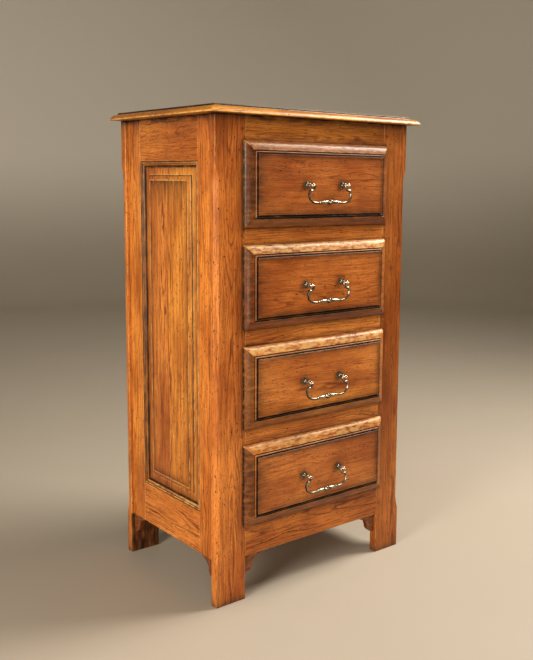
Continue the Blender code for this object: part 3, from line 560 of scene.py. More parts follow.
CARCASS_TOP = BOX["top_board"][0].z
LEG_HEIGHT = BOX["front_bottom_rail"][0].z
FACE_Y = BOX["front_stile_left"][0].y
BACK_Y = BOX["back_stile_left"][1].y
OPENING_HALF = BOX["front_stile_right"][0].x
DRAWER_HALF = BOX["drawer_1_side_right"][1].x
SIDE_OUTER_X = BOX["side_stile_front_right"][1].x
SIDE_INNER_X = BOX["side_stile_front_right"][0].x
SIDE_REAR_Y = BOX["side_stile_front_left"][1].y       # front stile's edge at the panel opening
SIDE_FAR_Y = BOX["side_stile_back_left"][0].y
PANEL_LOW_Z = BOX["side_bottom_rail_left"][1].z
PANEL_HIGH_Z = BOX["side_top_rail_left"][0].z
FIELD_Y = BOX["drawer_1_front"][0].y
CHAMFER_LOW = LEG_HEIGHT - CHAMFER_FOOT_MARGIN
CHAMFER_HIGH = CARCASS_TOP - CHAMFER_TOP_MARGIN


def front_middle(number):
    low, high = BOX[f"drawer_{number}_front"]
    return (low.z + high.z) / 2


def stile_chamfer(z):
    """Depth of the corner chamfer at a height: it swells in and out in an S, like a lamb's tongue."""
    t = min((z - CHAMFER_LOW) / CHAMFER_TAPER, (CHAMFER_HIGH - z) / CHAMFER_TAPER)
    t = max(0.0, min(1.0, t))
    return CHAMFER * t * t * (3 - 2 * t)


def chamfer_levels():
    """Heights of the cross lines on the chamfer's two stops."""
    count = 12
    ends = [CHAMFER_LOW + CHAMFER_TAPER * i / count for i in range(count + 1)]
    return ends + [CHAMFER_LOW + CHAMFER_HIGH - z for z in ends]


def carcass_shade_and_grime(points):
    """Painted shade of the carcass, carried as grime, with no wear: painted shadow under the top, painted
    shade on the back legs' front faces below the carcass, darkening round the drawer fronts that is grime and
    painted shade, and darker towards the floor at the feet.
    """
    below_top = (CARCASS_TOP - points[:, 2]).clip(0)
    grime = 0.75 * np.exp(-below_top / 0.008) + 0.38 * np.exp(-below_top / 0.030)
    grime = np.maximum(grime, 0.75 * np.exp(-points[:, 2] / 0.012))
    under = (points[:, 2] < LEG_HEIGHT) & (points[:, 1] > 0) & (points[:, 1] < BACK_Y - BOARD + 0.001)
    grime = np.maximum(grime, 0.80 * under)
    on_face = points[:, 1] < FACE_Y + 0.001
    for number in DRAWERS:
        low, high = BOX[f"drawer_{number}_front"]
        away = np.hypot(np.maximum(np.maximum(low.x - points[:, 0], points[:, 0] - high.x), 0),
                        np.maximum(np.maximum(low.z - points[:, 2], points[:, 2] - high.z), 0))
        grime = np.maximum(grime, on_face * 0.85 * np.exp(-away / 0.0045))
    return np.zeros(len(points)), grime


# ---- Carcass

def build_stiles(wood):
    """The four corner posts, which are also the legs."""
    for side, label in SIDES:
        for place, seed in (("front", 11), ("back", 21)):
            name = f"{place}_stile_{label}"
            low, high = BOX[name]
            piece = Piece()
            bar(piece, low, high, Z, Y, seed + side, chamfer=stile_chamfer, flip=(side > 0, place == "back"),
                tint=TINT[name])
            piece.make(name.replace("stile", "corner_stile"), wood, "carcass", [name], patina_and_light=carcass_shade_and_grime)


def build_front_rails(wood):
    """Top and bottom rail of the front."""
    half = OPENING_HALF - GAP
    for name, seed in (("front_top_rail", 31), ("front_bottom_rail", 32)):
        low, high = BOX[name]
        piece = Piece()
        bar(piece, (-half, low.y, low.z), (half, FACE_Y + BOARD, high.z), X, Y, seed, tint=TINT[name])
        piece.make(name + "_board", wood, "carcass", [name], patina_and_light=carcass_shade_and_grime)


def build_web_frames(wood):
    """Divider rails with their runners, guides and back rails, each board with its own grain."""
    names = ["web_frame_1", "web_frame_2", "web_frame_3", "bottom_web_frame"]
    thickness, front_rail, back_rail, under_side = 0.020, 0.034, 0.034, 0.016
    guide_height, guide_width, guide_start = 0.012, 0.016, 0.001
    for index, name in enumerate(names):
        low, high = BOX[name]
        top = high.z - guide_height
        piece = Piece()
        front = FACE_Y + BOARD + GAP
        if name != "bottom_web_frame":
            half = OPENING_HALF - GAP
            bar(piece, (-half, FACE_Y, low.z), (half, FACE_Y + BOARD, top), X, Y, 41 + index,
                tint=TINT["divider"])
        outer = SIDE_INNER_X - GAP
        inner = DRAWER_HALF - under_side
        for y0, y1, seed in ((front, front + front_rail, 51), (high.y - back_rail, high.y, 61)):
            bar(piece, (-outer, y0, top - thickness), (outer, y1, top), X, Z, seed + index, tint=INSIDE)
        for side, _ in SIDES:
            ends = sorted((side * inner, side * outer))
            bar(piece, (ends[0], front + front_rail + GAP, top - thickness),
                (ends[1], high.y - back_rail - GAP, top), Y, Z, 71 + index * 2 + side, tint=INSIDE)
            ends = sorted((side * (OPENING_HALF + GAP), side * (OPENING_HALF + guide_width)))
            bar(piece, (ends[0], front + guide_start, top + GAP), (ends[1], high.y - back_rail, high.z), Y, Z,
                81 + index, tint=INSIDE)
        piece.make(name + "_boards", wood, "carcass", [name], patina_and_light=carcass_shade_and_grime)


def moulding_outline():
    """Stuck moulding: (distance in from the opening's edge, depth behind the frame's face)."""
    bead = 0.0034
    outline = [(0.0, 0.0004), (0.0010, 0.0008), (0.0013, 0.0026), (0.0019, 0.0028)]
    for i in range(7):
        angle = math.radians(180 - 150 * i / 6)
        outline.append((0.0023 + bead / 2 + bead / 2 * math.cos(angle), 0.0022 - 0.0018 * math.sin(angle)))
    return outline + [(0.0060, 0.0030), (0.0064, 0.0036), (0.0078, 0.0041), (0.0090, 0.0052),
                      (SIDE_MOULDING, PANEL_RECESS - 0.0006)]


def build_side_frames(wood):
    """Side stiles and rails, and the mitred moulding along their inner edges."""
    for side, label in SIDES:
        x = sorted((side * SIDE_INNER_X, side * SIDE_OUTER_X))
        for number, (name, along) in enumerate((("side_stile_front", Z), ("side_stile_back", Z),
                                                ("side_top_rail", Y), ("side_bottom_rail", Y))):
            node = f"{name}_{label}"
            low, high = BOX[node]
            y = (low.y, high.y) if along == Z else (SIDE_REAR_Y + GAP, SIDE_FAR_Y - GAP)
            piece = Piece()
            bar(piece, (x[0], y[0], low.z), (x[1], y[1], high.z), along, X, 91 + 4 * side + number,
                flip=(False, side > 0), tint=TINT[name])
            piece.make(node + "_board", wood, "carcass", [node], patina_and_light=carcass_shade_and_grime)
        build_moulding(side, label, wood)


def build_moulding(side, label, wood):
    """Four mitred runs of stuck moulding. Its lower run, which faces up, and the beads of the other runs are
    lightened as painted highlight, and its quirks and its rear, upper and front runs are darkened as painted
    shade.
    """
    piece = Piece()
    corners = [(SIDE_REAR_Y, PANEL_LOW_Z), (SIDE_FAR_Y, PANEL_LOW_Z),
               (SIDE_FAR_Y, PANEL_HIGH_Z), (SIDE_REAR_Y, PANEL_HIGH_Z)]
    shape = moulding_outline()
    shape = shape + [(SIDE_MOULDING, BOARD * 0.4), (0.0, BOARD * 0.4)]
    shaded_points, bead_points = (2, 3, 11, len(shape) - 3), (6, 7, 8)
    for number in range(4):
        (y0, z0), (y1, z1) = corners[number], corners[(number + 1) % 4]
        along = Y if z0 == z1 else Z
        run = Vector((0, y1 - y0, z1 - z0)).normalized()
        inward = Vector((0, -run.z, run.y))
        length = math.hypot(y1 - y0, z1 - z0)
        sections, dirt_and_shade = [], []
        for place in steps_between(0, length, 0.03, 0.0):
            mitre = 2 * place / length - 1
            sections.append([Vector((side * (SIDE_OUTER_X - depth), y0, z0)) + run * (place - mitre * inset)
                             + inward * inset for inset, depth in shape])
            # Painted shade: the quirks are black, and each run is darkened by its row of the moulding table.
            dirt_and_shade += [max(MOULDING_SHADE[number], 1.0 if index in shaded_points else 0.1)
                     for index in range(len(shape))]
        low = (side * SIDE_OUTER_X, min(y0, y1), min(z0, z1))
        board = Board(low, low, along, X, 131 + number + 4 * side, TINT["moulding"], "rift")
        # Painted highlight: the lower run and the beads of the other runs are lightened.
        lit = range(4, 15) if number == 0 else bead_points
        worn_and_lit = [1.0 if i % len(shape) in lit else 0.0 for i in range(len(dirt_and_shade))]
        loft(piece, sections, board, worn_and_lit, grime=dirt_and_shade)
    piece.make(f"side_moulding_{label}", wood, "carcass", wobble=0.0001, angle=50)


def build_side_panels(wood):
    """Raised and fielded panels, each glued up from two boards."""
    tongue, thickness, groove, margin, bevel = 0.007, 0.014, 0.009, 0.0315, 0.009
    rise = thickness - tongue
    for side, label in SIDES:
        node = f"side_panel_{label}"
        low, high = BOX[node]
        size = (high.y - low.y, high.z - low.z)
        middle = ((low.y + high.y) / 2, (low.z + high.z) / 2)
        base = side * (SIDE_OUTER_X - PANEL_RECESS - tongue)
        edge, flat, field = groove + SIDE_MOULDING, groove + margin, groove + margin + bevel
        # Ring rows are (inset, height, wear, grime): painted highlight lines along both edges of the bevel,
        # and painted shade in the recess by the moulding and at the bevel's foot and top.
        rings = [(0, 0, 0, 0), (0, tongue, 0, 0), (edge, tongue, 0, 1.0), (edge + 0.0025, tongue, 0, 0.9),
                 (edge + 0.006, tongue, 0, 0.35), (flat - 0.004, tongue + 0.0001, 0, 0.05),
                 (flat - 0.0008, tongue + 0.0002, 0.8, 0.2), (flat, tongue + 0.0012, 0.2, 0.9),
                 (flat + 0.0008, tongue + rise * 0.30, 0, 0.8)]
        rings += arc_rings((flat + 0.0008, tongue + rise * 0.30), (field - 0.0008, tongue + rise * 0.84),
                           5, 60, 5, 0, 0.15)
        rings += [(field - 0.0003, tongue + rise * 0.86, 0.1, 0.7), (field, tongue + rise * 0.97, 1, 0),
                  (field + 0.0012, tongue + rise * 0.985, 0.8, 0)]
        joint = (0.0036, -0.001)[side > 0]

        def relief(a, b, joint=joint):
            seam = 0.00035 * math.exp(-((a - joint) / 0.0006) ** 2)
            return -seam - 0.0002 * (1 + noise.noise(Vector((a * 30, b * 6, 1))))

        # Painted shade on the field: darker near its edges and towards the top, under the rail.
        def dirt_and_shade(a, b, half=(size[0] / 2 - field, size[1] / 2 - field)):
            edge = min(half[0] - abs(a), half[1] - abs(b))
            top = half[1] - b
            return max(0.80 * math.exp(-max(edge, 0) / 0.008), 0.75 * math.exp(-max(top, 0) / 0.030))

        boards = [Board(low, high, Z, X, 151 + side, TINT["panel_back"]),
                  Board(low, high, Z, X, 161 + side, TINT["panel_front"])]
        piece = Piece()
        slab(piece, size, rings, lambda a, b, h: (base + side * h, middle[0] + a, middle[1] + b), boards,
             cells=(0.010, 0.014), relief=relief, extra=((joint - 0.0007, joint, joint + 0.0007), ()),
             field_grime=dirt_and_shade, pick=lambda m, j=middle[0] + joint: 0 if m.y > j else 1)
        piece.make(f"side_panel_boards_{label}", wood, "carcass", [node], angle=30)


def build_top(wood):
    """Top of three glued boards with a thumbnail edge on the front and the sides."""
    low, high = BOX["top_board"]
    size = (high.x - low.x - 0.0006, high.y - low.y - 0.0006)
    middle = ((low.x + high.x) / 2, (low.y + high.y) / 2)
    thickness = high.z - low.z
    # Ring rows are (inset, height, wear, grime): the thumbnail's lower arris is lightened, wear and painted
    # highlight, and its underside and the fillet at its top are darkened as painted shade.
    rings = [(0.0014, 0, 0, 0.3), (0.0004, 0.0004, 0.6, 0), (0, 0.0010, 1, 0), (0.0001, 0.0020, 1, 0)]
    rings += arc_rings((0.0001, 0.0020), (0.0205, thickness - 0.0043), 12, 84, 8, 0.0, 0.0)
    rings += [(0.0210, thickness - 0.0036, 0, 1.0), (0.0212, thickness - 0.0010, 0.0, 1.0),
              (0.0216, thickness - 0.0004, 0.3, 0.6), (0.0226, thickness - 0.0001, 0.3, 0.2)]
    joints = (-size[1] / 6 - 0.01, size[1] / 6 + 0.02)

    def relief(a, b):
        seam = sum(0.0003 * math.exp(-((b - j) / 0.0006) ** 2) for j in joints)
        return -seam - 0.0002 * (1 + noise.noise(Vector((a * 8, b * 22, 3))))

    boards = [Board(low, high, X, Z, 171 + i, TINT["top"]) for i in range(3)]
    lines = tuple(j + d for j in joints for d in (-0.0007, 0, 0.0007))
    piece = Piece()
    slab(piece, size, rings, lambda a, b, h: (middle[0] + a, middle[1] + b, low.z + h), boards,
         cells=(0.016, 0.012), sides=(1, 1, 1, 0), corner=0.0016, relief=relief, extra=((), lines),
         pick=lambda m: sum(m.y - middle[1] > j for j in joints))
    piece.make("top_boards", wood, "carcass", ["top_board"], angle=30)


def build_back(wood):
    """Back of five upright boards."""
    low, high = BOX["back_panel"]
    piece = Piece()
    count = 5
    width = (high.x - low.x) / count
    for i in range(count):
        left, right = low.x + width * i + 0.0002, low.x + width * (i + 1) - 0.0002
        bar(piece, (left, low.y, low.z), (right, high.y, high.z), Z, Y, 181 + i, ease=0.0018, cell=0.02,
            tint=INSIDE)
    piece.make("back_boards", wood, "carcass", ["back_panel"])


def scroll_outline(width, height):
    """Cusped bracket: a step, a convex shoulder, a concave fall and a rounded tip; corner at the origin."""
    points = [(0, 0), (width, 0), (width, -height * 0.07), (width * 0.93, -height * 0.09)]
    points += bow((width * 0.90, -height * 0.13), (width * 0.50, -height * 0.46), -width * 0.085, 9)
    points += bow((width * 0.47, -height * 0.50), (width * 0.20, -height * 0.90), width * 0.085, 9)
    points += bow((width * 0.19, -height * 0.94), (0.0, -height), -width * 0.030, 5)
    return points


def bow(start, end, bulge, count):
    """A parabolic arc; bulge is its height to the left of the line."""
    dx, dz = end[0] - start[0], end[1] - start[1]
    length = math.hypot(dx, dz)
    lifts = [(i / count, 4 * bulge * i / count * (1 - i / count)) for i in range(count + 1)]
    return [(start[0] + dx * t - dz / length * lift, start[1] + dz * t + dx / length * lift)
            for t, lift in lifts]


def shrunk(outline, distance):
    """The outline moved inwards by a small distance."""
    area = sum(a[0] * b[1] - b[0] * a[1] for a, b in zip(outline, outline[1:] + outline[:1]))
    turn = math.copysign(distance, area)
    moved = []
    for before, here, after in zip(outline[-1:] + outline[:-1], outline, outline[1:] + outline[:1]):
        one = Vector((here[0] - before[0], here[1] - before[1])).normalized()
        two = Vector((after[0] - here[0], after[1] - here[1])).normalized()
        normal = Vector((-one.y - two.y, one.x + two.x))
        scale = turn / max(0.35, normal.length_squared / 2)
        moved.append((here[0] + normal.x * scale, here[1] + normal.y * scale))
    return moved


def prism(piece, outline, thickness, place, board, ease=0.0011):
    """An outline cut from a board, its edges eased; place turns (a, b, depth) into the frame."""
    inner = shrunk(outline, ease)
    near = shrunk(outline, ease * 0.3)
    stack = [(inner, 0), (near, ease * 0.3), (outline, ease), (outline, thickness - ease),
             (near, thickness - ease * 0.3), (inner, thickness)]
    sections = [[place(a, b, depth) for a, b in shape] for shape, depth in stack]
    count = len(outline)
    loft(piece, sections, board, [0.0 if i // count in (2, 3) else 0.9 for i in range(count * len(stack))])


def build_brackets(wood):
    """Scrolled brackets between the legs and the bottom rails."""
    for name in sorted(BOX):
        if "bracket" not in name:
            continue
        low, high = BOX[name]
        piece = Piece()
        if name.startswith("front"):
            side = 1 if high.x < 0 else -1
            edge = low.x if side > 0 else high.x
            outline = scroll_outline(high.x - low.x, high.z - low.z)
            place = lambda a, b, d: (edge + side * a, low.y + d, high.z + b)
            thickness, along, depth = high.y - low.y, X, Y
        else:
            side = 1 if "front" in name else -1
            edge = low.y if side > 0 else high.y
            outline = scroll_outline(high.y - low.y, high.z - low.z)
            place = lambda a, b, d: (low.x + d, edge + side * a, high.z + b)
            thickness, along, depth = high.x - low.x, Y, X
        board = Board(low, high, along, depth, len(name) + int(edge * 1000))
        prism(piece, outline, thickness, place, board)
        piece.make(name + "_scroll", wood, "carcass", [name], wobble=0.0001)


def build_pegs(wood):
    """Riven pegs that pin the front frame's joints, a little proud of the stiles."""
    in_from_edge, lift, radius, above_leg = 0.0085, 0.003, 0.0042, 0.030
    fronts = [BOX[f"drawer_{number}_front"] for number in DRAWERS]
    levels = [(CARCASS_TOP + fronts[0][1].z) / 2 - lift]
    levels += [(upper[0].z + lower[1].z) / 2 + lift for upper, lower in zip(fronts, fronts[1:])]
    levels.append(LEG_HEIGHT + above_leg)
    piece = Piece()
    for side, _ in SIDES:
        for number, level in enumerate(levels):
            draw = random.Random(200 + number * 2 + side)
            size = radius * draw.uniform(0.85, 1.1)
            centre = (side * (OPENING_HALF + in_from_edge), FACE_Y, level + draw.uniform(-0.002, 0.002))
            board = Board(centre, centre, Y, Z, 201 + number, PEG_TINT)
            profile = [(size * 0.5, 0.0007), (size * 0.85, 0.0005), (size, 0.0001), (size * 1.02, -0.004)]
            spin = draw.uniform(0, 1)
            outline = lambda t, n, s=spin: 1 + 0.035 * math.cos(8 * (t + s))
            turned(piece, centre, (0, -1, 0), profile, board, 24, outline, [0.15, 0.2, 0.9, 1.0])
    piece.make("frame_pegs", wood, "carcass", wobble=0)


# ---- Drawers

def front_rings(climb):
    """Moulded border of a drawer front: thin lip, wide ovolo, quirk, bead, groove and step to the field."""
    edge, ovolo, quirk, bead = FRONT_EDGE, 0.0192, 0.0020, 0.0038
    slope_top = edge + 0.78 * (climb - edge)
    bead_top = edge + 0.90 * (climb - edge)
    # Ring rows are (inset, height, wear, grime): the lip and the ovolo's crest are lightened, wear and painted
    # highlight, and the quirk, the bead and the groove by the field are darkened, grime and painted shade.
    rings = [(0.0010, 0.0, 0.2, 0.5), (0.0002, 0.0003, 0.8, 0.3), (0.0, 0.0010, 0.5, 0.2),
             (0.0002, edge, 0.6, 0.2), (0.0010, edge + 0.0018, 0.2, 0.1)]
    rings += arc_rings((0.0010, edge + 0.0018), (ovolo - 0.0012, slope_top - 0.0003), 10, 62, 9, 0.0, 0.12)
    rings += [(ovolo - 0.0003, slope_top, 1.0, 0.1), (ovolo + 0.0001, slope_top - 0.0003, 0.6, 0.6),
              (ovolo + quirk * 0.35, slope_top - 0.0019, 0, 1.0), (ovolo + quirk, slope_top - 0.0020, 0, 1.0)]
    start = (ovolo + quirk, slope_top - 0.0020)
    for i in range(1, 9):
        angle = math.radians(180 - 165 * i / 8)
        share = (1 + math.cos(angle)) / 2
        height = start[1] + (bead_top - start[1]) * math.sin(min(angle, math.pi) if i < 5 else math.pi / 2)
        if i >= 5:
            height = bead_top - 0.0016 * (1 - math.sin(angle))
        rings.append((start[0] + bead * share, height, 0.35 if i in (3, 4) else 0.0, 0.45))
    inset = start[0] + bead
    rings += [(inset + 0.0002, bead_top - 0.0030, 0, 1.0), (inset + 0.0014, bead_top - 0.0030, 0, 1.0),
              (inset + 0.0019, climb - 0.0005, 0, 1.0), (inset + 0.0024, climb, 0.15, 0.8),
              (inset + 0.0040, climb, 0.0, 0.4)]
    return rings


def tails(low, high):
    """Middles of the dovetails on a joint between two heights, and their half widths at root and end."""
    count = 3
    pitch = (high - low) / count
    return [low + pitch * (i + 0.5) for i in range(count)], pitch * 0.27, pitch * 0.37


def build_drawer_front(number, wood):
    """A moulded front, cut from one board or glued up from two, with its rebate behind."""
    node = f"drawer_{number}_front"
    low, high = BOX[node]
    size = (high.x - low.x, high.z - low.z)
    middle = ((low.x + high.x) / 2, (low.z + high.z) / 2)
    back = FACE_Y - GAP
    rings = front_rings(back - low.y - 0.0002)
    half = (size[0] / 2 - rings[-1][0], size[1] / 2 - rings[-1][0])
    seam = FRONT_SEAM[number]
    lines = [seam + shift for shift in (-0.0014, -0.0007, 0, 0.0007, 0.0014) if abs(seam) < size[1] / 2]

    def relief(a, b):
        groove = -0.00025 * math.exp(-((b - seam) / 0.0006) ** 2)
        return groove - 0.00022 * (1 + noise.noise(Vector((a * 14, b * 35, number * 5))))

    # Darkening of the field, grime and painted shade: along its edges by the groove, towards its left side, in
    # its corners and round the post plates.
    def dirt_and_shade(a, b):
        edge = 0.75 * math.exp(-max(min(half[0] - abs(a), half[1] - abs(b)), 0) / 0.007)
        left = 0.55 * math.exp(-max(half[0] + a, 0) / 0.028)
        corner = 0.6 * math.exp(-math.hypot(half[0] - abs(a), half[1] - abs(b)) / 0.022)
        plates = 0.5 * math.exp(-max(math.hypot(abs(a) - POST_SPACING / 2, b) - 0.009, 0) / 0.006)
        return max(edge, left, corner, plates)

    def swirl(a, b):
        return sum(shift * math.exp(-((a - x) / wide) ** 2 - ((b - z) / tall) ** 2)
                   for x, z, wide, tall, shift in SWIRLS[number])

    def glue(a, b):
        return 0.9 * math.exp(-((b - seam) / 0.0007) ** 2) if number == 3 else 0.0

    boards = [Board(low, high, X, Y, 300 + number, TINT[node], pith=FRONT_PITH[number]),
              Board(low, high, X, Y, 320 + number, LOWER_BOARD, pith=LOWER_PITH)]
    piece = Piece()
    slab(piece, size, rings, lambda a, b, h: (middle[0] + a, back - h, middle[1] + b), boards,
         cells=(0.006, 0.006), corner=0.0016, relief=relief, extra=((), lines),
         field_grime=dirt_and_shade, field_wear=glue, swirl=swirl, pick=lambda m: 0 if m.z - middle[1] > seam else 1)
    add_rebate(piece, number, boards[0])
    piece.make(node + "_board", wood, f"drawer_{number}", [node],
               patina_and_light=lambda p: border_shade_and_highlight(p, middle, size, SLOPES[number]))


def border_shade_and_highlight(points, middle, size, slopes):
    """Painted shade and painted highlight of a drawer front's border, from the four rows of SLOPES: darker
    slopes and beads, a painted shadow along the left and lower lip, and painted highlight lines along the
    upper mitres.
    """
    a, b = points[:, 0] - middle[0], points[:, 2] - middle[1]
    away = np.stack([size[0] / 2 + a, size[0] / 2 - a, size[1] / 2 + b, size[1] / 2 - b])
    nearest, second = np.argmin(away, axis=0), np.sort(away, axis=0)[1]
    depth = away.min(axis=0)
    values = np.array(slopes)[nearest]
    lip_end, slope_end, bead_end = 0.0012, 0.0190, 0.0262
    on_slope, on_bead = (depth > lip_end) & (depth < slope_end), (depth >= slope_end) & (depth < bead_end)
    mitre = (second - depth < 0.0007) & (depth < slope_end)
    grime = values[:, 0] * on_slope + values[:, 1] * on_bead
    on_lip = (depth <= lip_end) & ((nearest == 0) | (nearest == 2))
    grime = np.maximum(grime, 0.95 * on_lip)
    top_corners = mitre & (b > 0)
    return np.maximum(values[:, 2] * on_slope, 1.0 * top_corners), grime * ~top_corners


def add_rebate(piece, number, board):
    """The part of the front inside the opening, with sockets at its ends for the sides' dovetails."""
    side_low, side_high = BOX[f"drawer_{number}_side_right"]
    z0, z1 = side_low.z, side_high.z
    middles, root, end = tails(z0, z1)
    inner = side_low.x - 0.0002
    sections = []
    for y, width in ((FACE_Y - GAP, end + 0.0002), (FACE_Y + FRONT_REBATE - 0.0002, root + 0.0002)):
        right = [(DRAWER_HALF, z0)]
        for zc in middles:
            right += [(x, zc + z) for x, z in ((DRAWER_HALF, -width), (inner, -width),
                                               (inner, width), (DRAWER_HALF, width))]
        right.append((DRAWER_HALF, z1))
        outline = right + [(-x, z) for x, z in reversed(right)]
        sections.append([(x, y, z) for x, z in outline])
    loft(piece, sections, board)


def build_drawer_box(number, wood):
    """Sides dovetailed to the front and the back, the back's pins, and a bottom of two boards."""
    body = f"drawer_{number}"
    back_low, back_high = BOX[f"drawer_{number}_back"]
    pins, slack = [], 0.0002
    for side, label in SIDES:
        node = f"drawer_{number}_side_{label}"
        low, high = BOX[node]
        front_tails, root, end = tails(low.z, high.z)
        rear_tails, rear_root, rear_end = tails(back_low.z, back_high.z)
        thickness = back_high.y - back_low.y
        rear_start = high.y - thickness - slack
        outline = [(low.y, low.z), (high.y, low.z), (high.y, back_low.z), (rear_start, back_low.z + 0.0001)]
        for zc in rear_tails:
            outline += [(rear_start, zc - rear_root), (high.y, zc - rear_end),
                        (high.y, zc + rear_end), (rear_start, zc + rear_root)]
        outline += [(rear_start, high.z), (low.y, high.z)]
        for zc in reversed(front_tails):
            tip = low.y - FRONT_REBATE + 0.0004
            outline += [(low.y, zc + root), (tip, zc + end), (tip, zc - end), (low.y, zc - root)]
        piece = Piece()
        board = Board(low, high, Y, X, 340 + number * 2 + side, PLAIN, "rift")
        prism(piece, outline, high.x - low.x, lambda a, b, d: (low.x + d, a, b), board, 0.0006)
        piece.make(node + "_board", wood, body, [node], wobble=0)
        roots, edges = [[back_low.z, *(z for zc in rear_tails for z in (zc - half, zc + half)), back_high.z]
                        for half in (rear_root, rear_end)]
        for index in range(0, len(edges), 2):
            spans = [(line[index] + slack, line[index + 1] - slack) for line in (roots, edges)]
            pins.append([(low.x, high.x), rear_start + slack, high.y, *spans])
    piece = Piece()
    bar(piece, back_low, back_high, X, Y, 360 + number, ease=0.0006, cell=0.03, tint=PLAIN)
    board = Board(back_low, back_high, X, Y, 360 + number, PLAIN)
    for ends, y0, y1, root, end in pins:
        sections = [[(x, y0, root[0]), (x, y1, end[0]), (x, y1, end[1]), (x, y0, root[1])] for x in ends]
        loft(piece, sections, board)
    piece.make(body + "_back_board", wood, body, [body + "_back"], wobble=0)
    low, high = BOX[body + "_bottom"]
    piece = Piece()
    split = (low.y + high.y) / 2 + 0.013
    halves = ((low, (high.x, split, high.z), 370), ((low.x, split + slack, low.z), high, 380))
    for start, stop, seed in halves:
        bar(piece, start, stop, X, Z, seed + number, ease=0.0006, cell=0.03, tint=PLAIN)
    piece.make(body + "_bottom_boards", wood, body, [body + "_bottom"], wobble=0)


# ---- Pulls

METAL = Board((0, 0, 0), (0, 0, 0), X, Y, 1)      # a shell needs a board, and metal's has no grain


def diamond(share):
    """Radius against angle of a diamond, softened towards a circle; share is 1 for the full diamond."""
    def outline(t, number):
        sharp = 1 / (abs(math.cos(t)) + abs(math.sin(t)))
        mix = share[number]
        return (1 - mix) + mix * sharp
    return outline


def build_post(number, label, metal):
    """Diamond rosette, turned stem with a ball and a button, and the shank and nut behind.

    Rosette rows are (share of its radius, height, share of diamond, grime), stem rows (radius, height, grime).
    """
    node = f"drawer_{number}_post_{label}"
    low, high = BOX[node]
    foot = ((low.x + high.x) / 2, FIELD_Y - GAP, front_middle(number))
    reach = foot[1] - low.y - HEAD_RADIUS - FINIAL
    tip = reach + HEAD_RADIUS
    rosette = [(0.95, 0.0001, 1.0, 1.0), (1, 0.0005, 1.0, 0.9), (0.985, 0.0011, 1.0, 0.1),
               (0.86, 0.0017, 1.0, 0.7), (0.80, 0.0018, 1.0, 0.9), (0.76, 0.0014, 1.0, 1.0),
               (0.70, 0.0014, 0.9, 1.0), (0.62, 0.0020, 0.7, 0.9), (0.50, 0.0027, 0.3, 0.8),
               (0.42, 0.0030, 0.0, 0.7), (0.36, 0.0028, 0.0, 1.0)]
    stem = [(0.0034, 0.0024, 1.0), (0.0036, 0.0034, 0.2), (0.0030, 0.0042, 0.7), (0.0024, 0.0050, 0.6),
            (0.0022, 0.0080, 0.3), (0.0024, 0.0104, 0.6), (0.0034, 0.0110, 0.0), (0.0034, 0.0117, 0.0),
            (0.0024, 0.0123, 0.8), (0.0022, 0.0140, 0.4), (0.0026, 0.0150, 0.8), (0.0036, 0.0156, 0.1),
            (0.0030, 0.0163, 0.9)]
    for i in range(11, 0, -1):
        angle = math.pi * (1 - i / 12.5) * 0.93
        stem.append((HEAD_RADIUS * math.sin(angle), reach - HEAD_RADIUS * math.cos(angle), 0.15))
    stem += [(0.0015, tip - 0.0001, 0.9), (0.0021, tip + 0.0004, 0.1), (0.0013, tip + 0.0009, 0.8),
             (0.0018, tip + 0.0017, 0.0), (0.0014, tip + 0.0027, 0.0), (0.0004, tip + FINIAL - 0.0001, 0.0)]
    shank_end = foot[1] - high.y
    shank = [(0.0019, -0.001), (0.0019, shank_end + 0.0008), (0.0012, shank_end + 0.0001)]
    nut = [(0.0038, shank_end + 0.0056), (0.0047, shank_end + 0.0052), (0.0047, shank_end + 0.0032),
           (0.0038, shank_end + 0.0029)]
    hexagon = lambda t, n: math.cos(math.pi / 6) / math.cos((t % (math.pi / 3)) - math.pi / 6)
    piece = Piece()
    axis = (0, -1, 0)
    turned(piece, foot, axis, [(ROSETTE * r, d) for r, d, _, _ in rosette], METAL, 48,
           diamond([share for _, _, share, _ in rosette]), [dirt_and_shade for _, _, _, dirt_and_shade in rosette])
    turned(piece, foot, axis, [(r, d) for r, d, _ in stem], METAL, 24, grime=[dirt_and_shade for _, _, dirt_and_shade in stem])
    turned(piece, foot, axis, shank, METAL, 16, grime=[0.4] * 3)
    turned(piece, foot, axis, nut, METAL, 24, hexagon, [0.5] * 4)
    piece.make(node + "_fitting", metal, f"drawer_{number}", [node], wobble=0, angle=40)


def smooth_path(nodes, per_span):
    """Catmull-Rom points through the nodes."""
    padded = [nodes[0], *nodes, nodes[-1]]
    points = []
    for a, b, c, d in zip(padded, padded[1:], padded[2:], padded[3:]):
        for i in range(per_span):
            t = i / per_span
            points.append(tuple(0.5 * (2 * q + (r - p) * t + (2 * p - 5 * q + 4 * r - s) * t * t
                                       + (3 * q - p - 3 * r + s) * t ** 3) for p, q, r, s in zip(a, b, c, d)))
    points.append(nodes[-1])
    return points


